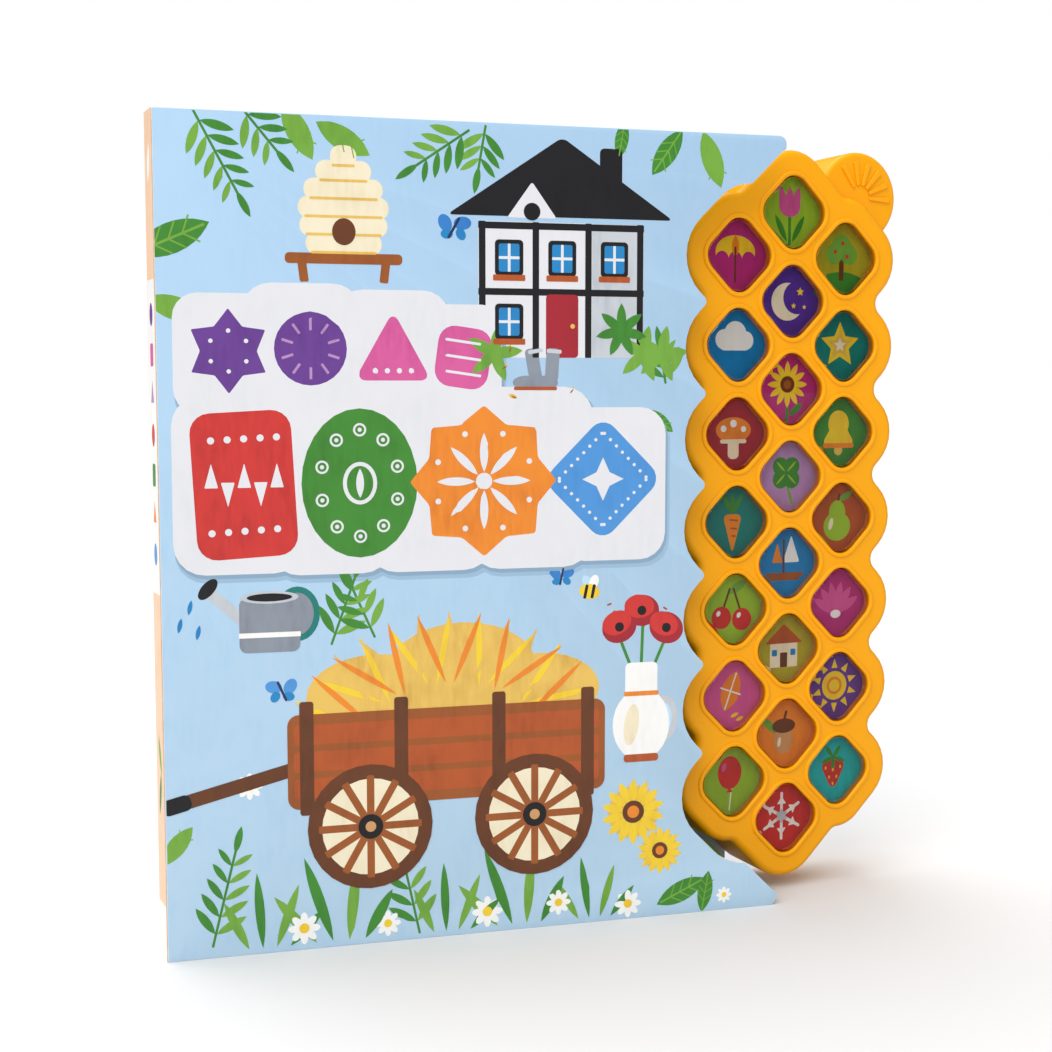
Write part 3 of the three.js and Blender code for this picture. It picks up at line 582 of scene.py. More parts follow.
# %% Mix the inks
INKS = {
    "sky": ("bcdcf2", "a9cfec"), "white": ("f6f5f2", "e6e4e0"), "cream": ("f1e6c8", "d9c79c"),
    "straw": ("e8bf5a", "b98527"), "yellow": ("f3d028", "d9a516"), "orange": ("ee8a1e", "c9640f"),
    "red": ("d3302a", "a51c1c"), "crimson": ("a81c2c", "7c0f1c"), "pink": ("d85a9c", "b23a7e"),
    "magenta": ("bc2c80", "8c1c60"), "lilac": ("b98cc0", "9468a4"), "purple": ("6a3a94", "4c2474"),
    "violet": ("55309a", "3a1c70"), "navy": ("22305c", "141c3c"), "blue": ("2f7fcc", "1c5ea6"),
    "azure": ("1684c4", "0c64a4"), "aqua": ("1cb4b4", "0c8c90"), "teal": ("128078", "0a5c58"),
    "green": ("3f8c2c", "2a681a"), "leaf": ("76ac3a", "4c8426"), "lime": ("9cc42c", "7ca018"),
    "olive": ("b4a81c", "8c8410"), "brown": ("a0561c", "7a3c12"), "bark": ("6c3a18", "4c2610"),
    "tan": ("cf9a62", "a8743c"), "rust": ("b8541c", "8c3a10"), "grey": ("8c94a0", "6a727e"),
    "silver": ("c4cad0", "a2a8b0"), "black": ("1c1a1e", "100e12"), "peach": ("f4cfae", "e8b88e"),
    "shade": ("88a6bf", "7f9eb8"), "shade_faint": ("99b9d3", "92b2cd"), "paper": ("e2e2e6", "d6d8de"),
    "cornflower": ("4a94d8", "3a80c4"),
}
mixed = {}


def ink_of(name, matte=False):
    """The material of an ink. Behind a button it is matte, as the button's own face does the shining."""
    key = name + "_matte" * matte
    if key not in mixed:
        mixed[key] = ink(key, *INKS[name], shine=1 - matte)
    return mixed[key]


print(len(INKS), "inks listed")

# %% [markdown]
# ## A press for pictures
# A picture is built in one edit session. Each shape is a filled circle with few or many corners, stretched
# and turned where it lies, and raised a hair from the sheet, so that a shape on a higher layer covers one on
# a lower layer, as overprinted ink does.

# %% Lay down shapes
INK_LAYER, INK_STEP, INK_ROUND = 0.02 * MM, 0.0006 * MM, 30
DISC_SIDES = 28
FULLNESS = 0.86


def around(turn, radius=1.0, x=0.0, z=0.0):
    """The point at a radius from x, z, turned clockwise by degrees from straight up."""
    return x + radius * math.sin(math.radians(turn)), z + radius * math.cos(math.radians(turn))


class Press:
    """Prints shapes on a sheet that is open in edit mode; x and z are millimetres from the middle."""

    def __init__(self, sheet, face, middle, matte=False):
        self.sheet, self.face, self.home, self.slots, self.printed = sheet, face, middle, {}, 0
        self.matte = matte
        self.move_to(0, 0)

    def move_to(self, x, z, scale=1.0):
        """Puts the middle of the next shapes at x, z millimetres from home."""
        self.middle, self.unit = self.home + Vector((x, 0, z)) * MM, scale * MM

    def load_ink(self, name):
        if name not in self.slots:
            self.sheet.data.materials.append(ink_of(name, self.matte))
            self.slots[name] = len(self.sheet.data.materials) - 1
        self.sheet.active_material_index = self.slots[name]

    def start(self, corners, x, z, wide, tall):
        """A filled circle with that many corners, the first one up, stretched to its size."""
        self.spot = self.middle + Vector((x, 0, z)) * self.unit
        self.spot.y = self.face + INK_LAYER
        bpy.ops.mesh.select_all(action="DESELECT")
        bpy.ops.mesh.primitive_circle_add(vertices=corners, radius=self.unit / 2, fill_type="NGON",
                                          location=self.spot, rotation=UPRIGHT)
        bpy.ops.transform.resize(value=(wide, 1, tall), center_override=self.spot)

    def soften(self, offset, segments=5):
        if offset:
            bpy.ops.mesh.bevel(offset=offset * self.unit, segments=segments, affect="VERTICES", profile=0.5)

    def print(self, ink_name, turn, layer):
        """Turns the shape clockwise, raises it to its layer and inks it."""
        if turn:
            bpy.ops.transform.rotate(value=-math.radians(turn), orient_axis="Y", center_override=self.spot)
        self.printed = (self.printed + 1) % INK_ROUND
        drag(y=-INK_LAYER * (layer + 1) - self.printed * INK_STEP)
        bpy.ops.mesh.select_linked()
        self.load_ink(ink_name)
        bpy.ops.object.material_slot_assign()

    def disc(self, ink_name, x, z, wide, tall=None, turn=0, layer=1):
        self.start(DISC_SIDES, x, z, wide, tall or wide)
        self.print(ink_name, turn, layer)

    def wedge(self, ink_name, x, z, wide, tall, turn=0, layer=1, soft=0.12):
        """A triangle that points up before it is turned."""
        self.start(3, x, z, wide * 2 / math.sqrt(3), tall * 4 / 3)
        self.soften(soft * min(wide, tall))
        self.print(ink_name, turn, layer)

    def block(self, ink_name, x, z, wide, tall, turn=0, layer=1, soft=0.2):
        """A rectangle with soft corners."""
        self.start(4, x, z, math.sqrt(2), math.sqrt(2))
        bpy.ops.transform.rotate(value=math.pi / 4, orient_axis="Y", center_override=self.spot)
        bpy.ops.transform.resize(value=(wide, 1, tall), center_override=self.spot)
        self.soften(soft * min(wide, tall))
        self.print(ink_name, turn, layer)

    def leaf(self, ink_name, x, z, wide, tall, turn=0, layer=1):
        """A blade with two pointed ends and full sides."""
        across = wide * 1.5
        self.start(4, x, z, across, tall)
        shape = bmesh.from_edit_mesh(self.sheet.data)
        for vertex in [v for v in shape.verts if v.select]:
            vertex.select = abs(vertex.co.x - self.spot.x) > across * self.unit / 4
        shape.select_flush_mode()
        self.soften(math.hypot(across, tall) / 2 * FULLNESS, 8)
        bpy.ops.mesh.select_linked()
        self.print(ink_name, turn, layer)

    def star(self, ink_name, x, z, wide, points=5, waist=0.5, turn=0, layer=1, soft=0.0):
        """A star, a sun or, with soft tips, a flower."""
        self.start(points * 2, x, z, wide, wide)
        shape = bmesh.from_edit_mesh(self.sheet.data)
        for number, vertex in enumerate([v for v in shape.verts if v.select]):
            if number % 2:
                vertex.co = self.spot.lerp(vertex.co, waist)
        bmesh.update_edit_mesh(self.sheet.data)
        self.soften(soft * wide / points)
        self.print(ink_name, turn, layer)

    def ring_of(self, shape, count, x, z, radius, start=0.0, **same):
        """The same shape many times round a point, each turned outwards."""
        for i in range(count):
            turn = start + i * 360 / count
            across, rise = around(turn, radius, x, z)
            shape(x=across, z=rise, turn=turn, **same)


# %% [markdown]
# ## The clear buttons
# Each button is a deep block of clear plastic with a tapered nub behind that presses the rubber keypad. A
# printed card shows through it. Its sides are painted amber, a painted reflection of the amber collar round
# it.
# The block is one closed solid, so light bends in it and the card looks sunk. Its colours turn deep, as they
# do on the real one.

# %% Clear plastic and the cap's sides, painted amber as a reflection of the collar
CLEAR, tree, shader = fresh_material("clear_plastic")
shader.inputs["Base Color"].default_value = colour("f4f6f4")
shader.inputs["Transmission Weight"].default_value = 1.0
shader.inputs["IOR"].default_value = 1.47
tree.links.new(ranged(tree, noise(tree, CLOUD_SCALE * 6), 0.0, 0.012), shader.inputs["Roughness"])
# The cap's side faces get an opaque amber: a painted reflection of the amber collar round the cap.
CAP_SIDE_PAINTED_REFLECTION = finish_with(moulded, "cap_side_painted_collar_reflection", {"Colour": colour("e88a10"), "Shade": 0.4})

# %% Model one cap
BUTTON_LOW, BUTTON_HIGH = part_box("button_middle_1")
BUTTON_GAP, CAP_ROUND = 0.35 * MM, 0.7 * MM
FLANGE, FLANGE_THICK = 1 * MM, 1.2 * MM
NUB_RADIUS, NUB_TOP, NUB_HEIGHT = 5 * MM, 3.2 * MM, 1.8 * MM
NUB_LENGTH = 1.2 * NUB_HEIGHT
CAP_BACK = BUTTON_HIGH.y - NUB_HEIGHT
FLANGE_FACE = CAP_BACK - FLANGE_THICK

cap = slab(window(TOP.x, TOP.z, -BUTTON_GAP), BUTTON_LOW.y, CAP_BACK - FLANGE_THICK / 2)
round_rim(BUTTON_LOW.y, CAP_ROUND, 4)
outwards()
flange = slab(window(TOP.x, TOP.z, -BUTTON_GAP + FLANGE), FLANGE_FACE, CAP_BACK)
outwards()
carve(cap, flange, "UNION")
let_go()
bpy.ops.mesh.primitive_cone_add(vertices=32, radius1=NUB_RADIUS, radius2=NUB_TOP, depth=NUB_LENGTH,
                                location=(TOP.x, BUTTON_HIGH.y - NUB_LENGTH / 2, TOP.z),
                                rotation=(-math.pi / 2, 0, 0))
nub = bpy.context.object
bpy.ops.object.transform_apply(location=True, rotation=True, scale=True)
carve(cap, nub, "UNION")
dress(cap, CLEAR, CAP_SIDE_PAINTED_REFLECTION)
# The side faces between the rounded front and the flange take the amber, a painted reflection of the collar.
for face in cap.data.polygons:
    on_side = abs(face.normal.y) < 0.2 and BUTTON_LOW.y + CAP_ROUND / 2 < face.center.y < FLANGE_FACE
    face.material_index = 1 if on_side else 0
settle(cap, "cap_model")
modify(cap, "WEIGHTED_NORMAL", keep_sharp=True)
print("cap:", len(cap.data.polygons), "faces")

# %% [markdown]
# ## The pictures behind the buttons
# Each card shows one plain thing on a coloured ground: a fruit, a flower, the weather, a toy. They are drawn
# in millimetres from the middle of the window.

# %% Fruit, leaves and flowers
def cherries(p):
    p.leaf("leaf", 2.5, 8.5, 5, 10, 60)
    p.block("bark", -2.5, 3.5, 0.9, 10, 20)
    p.block("bark", 2.5, 3.5, 0.9, 10, -20)
    p.disc("red", -4.6, -3.5, 9, layer=2)
    p.disc("red", 4.8, -4.5, 9, layer=2)
    p.disc("white", -6, -1.8, 1.8, 2.4, 30, layer=3)
    p.disc("white", 3.4, -2.8, 1.8, 2.4, 30, layer=3)


def sunflower(p):
    p.block("green", 0, -8, 1.3, 12)
    p.leaf("green", 4, -8, 3.6, 8, 50)
    p.ring_of(p.leaf, 12, 0, 2, 5.6, ink_name="yellow", wide=3.4, tall=7.5, layer=2)
    p.disc("bark", 0, 2, 6.6, layer=3)
    p.disc("brown", 0, 2, 3.6, layer=4)


def mushroom(p):
    p.block("cream", 0, -5, 5, 10, soft=0.4)
    p.disc("orange", 0, 1.5, 16, 10, layer=2)
    p.block("cream", 0, -3, 12, 1.6, layer=3, soft=0.5)
    for x, z, size in ((-4.5, 2, 2.6), (0, 4, 3), (4.6, 1.8, 2.4)):
        p.disc("white", x, z, size, layer=3)


def acorn(p):
    p.leaf("leaf", -6, 3, 4.5, 11, -50)
    p.disc("tan", 0.5, -3, 9, 12, layer=2)
    p.disc("bark", 0.5, 2.6, 11, 6, layer=3)
    p.block("bark", 1.2, 6.8, 1.2, 4, 15, layer=3)
    p.disc("cream", -1.6, -4, 1.6, 4, 10, layer=3)


def carrot(p):
    for turn in (-28, 0, 28):
        p.leaf("green", around(turn, 5)[0], 7, 3, 9, turn)
    p.wedge("orange", 0, -2.4, 9, 16, 180, layer=2, soft=0.3)
    for z, wide in ((0.5, 4), (-2.8, 3), (-5.8, 2)):
        p.block("rust", 0.6, z, wide, 0.7, 6, layer=3)


def pear(p):
    p.leaf("leaf", 4, 8.6, 3.6, 8, 62)
    p.block("bark", 0.6, 7.4, 1.1, 5, 10)
    p.disc("lime", 0, 2, 8, 10, layer=2)
    p.disc("lime", 0, -3.6, 13, 12, layer=2)
    p.disc("cream", -3, -2.6, 2, 5, 15, layer=3)


def tulip(p):
    p.block("green", 0, -6, 1.3, 13)
    p.leaf("green", -4, -6, 3.4, 12, -28)
    p.leaf("green", 4, -6, 3.4, 12, 28)
    p.disc("pink", 0, 3, 10, 9, layer=2)
    for x, turn in ((-3.2, -10), (3.2, 10), (0, 0)):
        p.leaf("pink", x, 5, 4.6, 11, turn, layer=2 if x else 3)


def strawberry(p):
    p.wedge("red", 0, -1, 14, 14, 180, layer=1, soft=0.34)
    p.ring_of(p.leaf, 5, 0, 4.6, 3, start=36, ink_name="green", wide=2.6, tall=6, layer=2)
    for x, z in ((-3.6, 0.4), (0, -0.6), (3.6, 0.4), (-1.8, -3.6), (1.8, -3.6), (0, -6.4)):
        p.disc("yellow", x, z, 0.9, 1.4, layer=2)


def clover(p):
    p.block("leaf", 1.6, -7, 1.2, 9, -18)
    for turn in (45, 135, 225, 315):
        x, z = around(turn, 3.7, 0, 1.4)
        p.disc("green", x, z, 7.4, layer=2)
        p.leaf("lime", x, z, 1.2, 6, turn, layer=3)


# %% Weather and water
def sun(p):
    p.ring_of(p.wedge, 10, 0, 0, 8.6, ink_name="yellow", wide=3, tall=4)
    p.disc("yellow", 0, 0, 12, layer=2)
    p.disc("orange", 0, 0, 7.4, layer=3)
    p.disc("yellow", 0, 0, 5, layer=4)


def moon(p):
    p.disc("cream", -0.5, 0, 15)
    p.disc("violet", 4, 1.6, 13, layer=2)
    for x, z, size in ((5.4, 4, 3.6), (2.4, -1.6, 2.4), (7.4, -2, 2)):
        p.star("yellow", x, z, size, layer=3)


def rain_cloud(p):
    for x, z, size in ((-4.6, 2.2, 8), (0.4, 4.4, 10), (5, 1.8, 7.4)):
        p.disc("white", x, z, size)
    p.block("white", 0.2, 0.4, 14, 5, soft=0.45)
    for x in (-4.6, 0, 4.6):
        p.leaf("azure", x, -6, 1.9, 5.4, 14, layer=2)


def snowflake(p):
    for turn in (0, 60, 120):
        p.block("white", 0, 0, 1.3, 20, turn, soft=0.5)
    p.ring_of(p.wedge, 6, 0, 0, 6, ink_name="white", wide=4.4, tall=3)
    p.star("silver", 0, 0, 6.4, points=6, waist=0.6, layer=2)


# %% Things
def balloon(p):
    p.block("white", 0.4, -8, 0.5, 9, 6)
    p.disc("red", 0, 3, 11, 13.5, layer=2)
    p.wedge("red", 0, -4.2, 3, 2.6, layer=2)
    p.disc("pink", -2.6, 5.4, 2, 3.6, 20, layer=3)


def boat(p):
    p.wedge("white", 2.9, 3.6, 8, 11, layer=1)
    p.wedge("orange", -3.6, 2.6, 5, 8, layer=1)
    p.block("bark", -0.6, 2.4, 0.9, 14, layer=2)
    p.wedge("brown", 0, -6.8, 20, 8, 180, layer=2, soft=0.25)
    p.block("azure", 0, -9.4, 22, 4, layer=3, soft=0.3)


def house(p):
    p.block("cream", 0, -3, 13, 10, soft=0.05)
    p.wedge("rust", 0, 4.4, 18, 8, layer=2)
    p.block("bark", 0, -5, 3.4, 6, layer=2, soft=0.1)
    p.block("azure", -4.4, -2, 2.4, 2.6, layer=2)
    p.block("azure", 4.4, -2, 2.4, 2.6, layer=2)


def umbrella(p):
    p.block("bark", 0, -3, 0.9, 15)
    p.disc("yellow", 0, 1.4, 18, 13, layer=2)
    for x in (-6, 0, 6):
        p.disc("magenta", x, -1.8, 6.2, 7, layer=3)
    p.block("magenta", 0, -4.4, 20, 6, layer=3, soft=0)
    p.block("bark", 0, -3, 0.9, 13, layer=4)
    p.leaf("orange", 0, 3.6, 4.4, 8.6, layer=3)


def bell(p):
    p.disc("straw", 0, -7.4, 4)
    p.disc("yellow", 0, 3.4, 10, 11, layer=2)
    p.wedge("yellow", 0, -0.6, 16, 13, layer=2, soft=0.2)
    p.block("orange", 0, -5.4, 15, 2, layer=3, soft=0.5)


def kite(p):
    for x, z in ((2, -8.4), (4.4, -10)):
        p.leaf("yellow", x, z, 2, 4, 70)
    p.leaf("orange", 0, 1.4, 11.5, 17, 20)
    p.block("white", 0, 1.4, 0.6, 15.6, 20, layer=2)
    p.block("white", 0, 1.4, 10, 0.6, 20, layer=2)


def button_star(p):
    p.star("yellow", 0, 0.4, 19, waist=0.48, soft=0.05)
    p.star("straw", 0, 0.4, 12, waist=0.48, layer=2)
    p.star("cream", 0, 0.4, 6, waist=0.48, layer=3)


def tree_on_hill(p):
    p.disc("green", 0, -12, 26, 14)
    p.block("bark", 0, -4, 2.2, 9, layer=2)
    for x, z, size in ((-3.6, 2, 8), (3.6, 2, 8), (0, 5.4, 9)):
        p.disc("leaf", x, z, size, layer=3)
    for x, z in ((-3, 3), (2.6, 1.2), (0.6, 6.4)):
        p.disc("red", x, z, 1.6, layer=4)


def shell_fan(p):
    for turn in (-60, -36, -12, 12, 36, 60):
        p.leaf("pink", around(turn, 6)[0], around(turn, 7, z=-5)[1], 5.2, 13, turn)
    p.disc("white", 0, -5, 5, 3.4, layer=2)


# %% Print the cards and set the caps
PICTURES = {
    "middle_1": ("lime", tulip), "middle_2": ("violet", moon), "middle_3": ("magenta", sunflower),
    "middle_4": ("lilac", clover), "middle_5": ("azure", boat), "middle_6": ("olive", house),
    "middle_7": ("orange", acorn), "middle_8": ("red", snowflake),
    "left_1": ("magenta", umbrella), "left_2": ("azure", rain_cloud), "left_3": ("crimson", mushroom),
    "left_4": ("teal", carrot), "left_5": ("lime", cherries), "left_6": ("pink", kite),
    "left_7": ("lime", balloon), "right_1": ("olive", tree_on_hill), "right_2": ("teal", button_star),
    "right_3": ("green", bell), "right_4": ("rust", pear), "right_5": ("magenta", shell_fan),
    "right_6": ("purple", sun), "right_7": ("aqua", strawberry),
}
CARD_SINK, CARD_THICK, CARD_INSET = 0.15 * MM, 0.3 * MM, 0.2 * MM
CARD_FACE = CAP_BACK - CARD_SINK - CARD_THICK

for name, (ground, picture) in PICTURES.items():
    middle = centre("button_" + name)
    card = slab(window(middle.x, middle.z, CARD_INSET), CARD_FACE, CARD_FACE + CARD_THICK)
    press = Press(card, CARD_FACE, middle, matte=True)
    press.load_ink(ground)
    bpy.ops.object.material_slot_assign()
    picture(press)
    outwards()
    settle(card, "card_" + name)
    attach(card, "button_" + name)

    block = cap.copy()
    block.data = cap.data.copy()
    bpy.context.scene.collection.objects.link(block)
    block.data.transform(Matrix.Translation((middle.x - TOP.x, 0, middle.z - TOP.z)))
    block.name = block.data.name = "cap_" + name
    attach(block, "button_" + name)
    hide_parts("button_" + name)
bpy.data.objects.remove(cap)
print(len(PICTURES), "buttons; card sunk", round((CARD_FACE - BUTTON_LOW.y) / MM, 1), "mm")

# %% [markdown]
# ## The front cover
# The cover is thick board with white cut edges, faced with a laminated print. It is made flat, cut out round
# the keypad, and only then opened by a few degrees about its hinge, as the book in the photograph stands. Its
# prints are made flat and opened in the same way.

# %% Cut the board
BOARD, TAB_CORNER, SPINE_CORNER, MITRE, BOARD_EDGE = 2 * MM, 3 * MM, 0.6 * MM, 0.28 * MM, 0.2 * MM
MODULE_RAISE, NOTCH_CLEARANCE = 1.5 * MM, 2.8 * MM
COVER_ANGLE = math.radians(8)
FRONT_HINGE = Vector(JOINTS["front_cover_hinge"]["pos_m"])
COVER_FACE, BACK_FACE = FRONT_HINGE.y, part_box("back_cover")[1].y
SPINE_LOW, SPINE_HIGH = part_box("spine")
PAGES_LOW, PAGES_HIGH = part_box("page_block")
SPINE_SIDE, FORE_EDGE, HEIGHT = SPINE_LOW.x, PAGES_HIGH.x, PAGES_HIGH.z
NOTCH = grow(scallops(TOP.x, TOP.z - MODULE_RAISE), NOTCH_CLEARANCE)
CORNER = Vector((SPINE_SIDE, 0, 0))


def open_cover(piece):
    """Turns a piece that was made flat by the angle at which the cover stands open."""
    hold(piece)
    bpy.ops.transform.rotate(value=COVER_ANGLE, orient_axis="Z", center_override=FRONT_HINGE)
    return piece


BOARD_LEFT = SPINE_SIDE + MITRE
cover = slab([(BOARD_LEFT, HEIGHT, SPINE_CORNER), (FORE_EDGE, HEIGHT, TAB_CORNER), (FORE_EDGE, 0, TAB_CORNER),
              (BOARD_LEFT, 0, SPINE_CORNER)], COVER_FACE, COVER_FACE + BOARD, 6)
outwards()
tool = slab(NOTCH, COVER_FACE - BOARD, COVER_FACE + 2 * BOARD)
outwards()
carve(cover, tool, "DIFFERENCE")
hold(cover)
bpy.ops.object.mode_set(mode="EDIT")
round_rim(COVER_FACE, BOARD_EDGE, 2)
outwards()
print("cover board:", len(cover.data.polygons), "faces before it is opened")

# %% Board edge and laminate
BOARD_CUT = finish_with(fibred, "cut_board", {"Colour": colour("f4f2ee"), "Fleck": colour("c9c4ba")},
                        bump=0.5, depth=0.03 * MM, Roughness=0.9)
# The foot's blue is lighter than the top's: painted bounce light from the white floor.
SKY_TOP, SKY_FOOT_PAINTED_BOUNCE, SKY_DEEP = colour("a8cae7"), colour("b2cfe4"), colour("98c0df")


def sky_print_with_painted_bounce():
    """The printed pale blue ground under a satin laminate, painted lighter towards the foot as painted bounce
    light from the floor.
    """
    made, tree, shader = fresh_material("sky_print_with_painted_bounce")
    rise = node(tree, "SeparateXYZ", {0: placed(tree)}).outputs["Z"]
    # The blue is mixed lighter towards the foot: painted bounce light from the floor.
    ground = mix(tree, ranged(tree, rise, end=HEIGHT), SKY_FOOT_PAINTED_BOUNCE, SKY_TOP)
    effect = node(tree, "Group", {"Colour": ground, "Deeper": SKY_DEEP, "Mottle": 0.35}, node_tree=printed)
    tree.links.new(effect.outputs["Colour"], shader.inputs["Base Color"])
    shader.inputs["Roughness"].default_value = 0.45
    shader.inputs["Coat Weight"].default_value, shader.inputs["Coat Roughness"].default_value = 0.2, 0.3
    return made


FACING = 0.9
dress(cover, BOARD_CUT, sky_print_with_painted_bounce(), ink_of("lime"))
for face in cover.data.polygons:
    face.material_index = 1 if face.normal.y < -FACING else 2 if face.normal.y > FACING else 0
settle(open_cover(cover), "front_cover_board", 30)
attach(cover, "front_cover")
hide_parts("front_cover")
print("cover box:", [[round(c / MM, 1) for c in cover.matrix_world @ Vector(corner)]
                     for corner in (cover.bound_box[0], cover.bound_box[6])])

# %% [markdown]
# ## The cover's picture
# The picture is a plain garden in flat shapes: a hay cart, a white house, a beehive, a can and flowers, with
# leaf sprigs round the edge and a white shield that holds coloured shapes. Each motif is a function with its
# own middle, so it can be set anywhere at any scale.

# %% Leaves, grass and small flowers
def sprig(p, x, z, length, turn=0, pairs=4):
    p.move_to(x, z)
    p.block("green", *around(turn, length / 2), 0.9, length, turn, soft=0.4)
    for pair in range(1, pairs + 1):
        size = 1 - 0.45 * pair / (pairs + 1)
        stem = around(turn, length * pair / (pairs + 1) + 3)
        for side, name in ((-1, "green"), (1, "leaf")):
            spot = around(turn + 90, side * 5.2 * size, *stem)
            p.leaf(name, *spot, 4.6 * size, 13 * size, turn + side * 48, 2)
    p.leaf("green", *around(turn, length + 4), 3.6, 10, turn, 2)


def broad_leaf(p, x, z, size, turn, ink_name):
    p.move_to(x, z, size / 20)
    p.leaf(ink_name, 0, 0, 11, 22, turn)
    p.block("leaf", 0, 0, 0.7, 19, turn, 2)
    for step in (-3, 1, 5):
        for side in (-1, 1):
            spot = around(turn + 90, side * 2, *around(turn, step))
            p.block("leaf", *spot, 0.45, 5, turn + side * 48, 2)


def grass(p, x, z, height, lean=0):
    p.move_to(x, z, height / 30)
    for step, (shift, tall, turn) in enumerate(((-7, 20, -34), (-2, 28, -12), (3, 24, 12), (8, 17, 36))):
        spot = around(turn + lean, tall / 2, shift, 1)
        p.leaf(("leaf", "green")[step % 2], *spot, 4.6, tall, turn + lean, 1 + step % 2)


def daisy(p, x, z, size):
    p.move_to(x, z, size / 10)
    p.ring_of(p.disc, 8, 0, 0, 3.1, ink_name="white", wide=2.5, tall=4.6, layer=2)
    p.disc("yellow", 0, 0, 3.4, layer=3)


def butterfly(p, x, z, size, ink_name, turn=0):
    p.move_to(x, z, size / 12)
    for side in (-1, 1):
        p.disc(ink_name, side * 3, 1.6, 6, 4.4, turn + side * -34, 2)
        p.disc("azure", side * 2.4, -2, 4.2, 3.2, turn + side * 30, 3)
    p.block("navy", 0, 0, 0.9, 8, turn, 4, soft=0.5)


# %% The bigger motifs
def beehive(p, x, z, size):
    p.move_to(x, z, size)
    for step, (wide, rise) in enumerate(((26, -12), (30, -6), (31, 0), (27, 6), (19, 12), (9, 17))):
        p.block("cream", 0, rise, wide, 7.4, layer=1 + step % 2, soft=0.48)
        p.block("straw", 0, rise - 3, wide * 0.86, 0.9, layer=4, soft=0.5)
    p.disc("bark", 0, -8, 8, 9, layer=5)
    p.block("brown", 0, -17, 40, 3.6, layer=3, soft=0.4)
    for side in (-14, 14):
        p.block("brown", side, -21, 3, 8, side / 2, layer=2)


def white_house(p, x, z, size):
    p.move_to(x, z, size)
    p.block("paper", 0, -4, 44, 34, layer=1, soft=0.04)
    p.block("silver", 15, -4, 14, 34, layer=2, soft=0.04)
    p.block("black", 13, 24, 6, 16, layer=2)
    p.wedge("black", 0, 21, 60, 20, layer=3, soft=0.08)
    p.wedge("paper", -8, 17, 13, 9, layer=4, soft=0.08)
    p.disc("black", -8, 15.6, 4.4, layer=5)
    for across in (-21, -7, 7, 21):
        p.block("black", across, -4, 1.7, 34, layer=3, soft=0.1)
    for rise in (12, -4.5):
        p.block("black", 0, rise, 44, 1.7, layer=3, soft=0.1)
    for across, rise in ((-14, 4), (0, 4), (14, 4), (-14, -12)):
        p.block("black", across, rise, 7.4, 9, layer=4, soft=0.14)
        p.block("azure", across, rise, 5.4, 7, layer=5, soft=0.1)
        p.block("paper", across, rise, 0.7, 7, layer=6)
        p.block("paper", across, rise, 5.4, 0.7, layer=6)
        p.block("rust", across, rise - 5, 8.4, 1.5, layer=6)
    p.block("crimson", 0, -13, 8.6, 16, layer=4, soft=0.12)
    p.disc("straw", 2.8, -13, 1.2, layer=5)
    p.ring_of(p.leaf, 7, 16, -14, 3, ink_name="green", wide=3.4, tall=8, layer=5)
    for across in (-18, 22, 27):
        p.ring_of(p.leaf, 5, across, -20, 3, start=-60, ink_name="leaf", wide=4, tall=9, layer=4)


def hay_cart(p, x, z, size):
    p.move_to(x, z, size)
    for across, rise, wide, tall in ((-24, 30, 44, 26), (4, 36, 50, 32), (30, 29, 40, 24)):
        p.disc("straw", across, rise, wide, tall, layer=1)
    for step in range(26):
        turn = -64 + step * 5.1
        spot, rise = around(turn, 44)[0], around(turn, 36, z=8)[1]
        lean = turn * 1.15 + 14 * (-1) ** step
        p.leaf(("yellow", "straw", "orange")[step % 3], spot, rise, 2.6, 24, lean, 2 + step % 3)
    p.block("brown", 0, 10, 104, 30, layer=6, soft=0.12)
    for rise in (18.5, 10, 1.5):
        p.block("rust", 0, rise, 100, 6.4, layer=7, soft=0.2)
    for across in (-46, -16, 16, 46):
        p.block("bark", across, 11, 4.4, 36, layer=8, soft=0.2)
    p.block("bark", -66, 4, 42, 4.4, -14, layer=5, soft=0.4)
    p.block("black", -86, -1, 9, 5, -14, layer=6, soft=0.4)
    for across in (-26, 28):
        p.disc("bark", across, -12, 40, layer=9)
        p.disc("cream", across, -12, 31, layer=10)
        for turn in range(0, 180, 30):
            p.block("brown", across, -12, 2.4, 33, turn, layer=11, soft=0.2)
        p.disc("black", across, -12, 8, layer=12)
        p.disc("tan", across, -12, 3.4, layer=13)


def watering_can(p, x, z, size):
    p.move_to(x, z, size)
    p.disc("teal", 11, 2, 18, 22, layer=1)
    p.disc("grey", 11, 2, 13, 17, layer=2)
    p.block("silver", -15, 4, 4.6, 26, -48, layer=2)
    p.disc("black", -24, 13, 10, 5, -48, layer=3)
    p.block("grey", 0, -2, 24, 22, layer=4, soft=0.14)
    p.disc("silver", 0, 9, 23, 5, layer=5)
    p.disc("black", 0, 9, 18, 3.2, layer=6)
    p.block("white", 0, -6, 24.4, 2, layer=5, soft=0.1)
    for across, rise in ((-31, 6), (-35, -1), (-28, -4)):
        p.leaf("azure", across, rise, 2.4, 6, 12, 2)


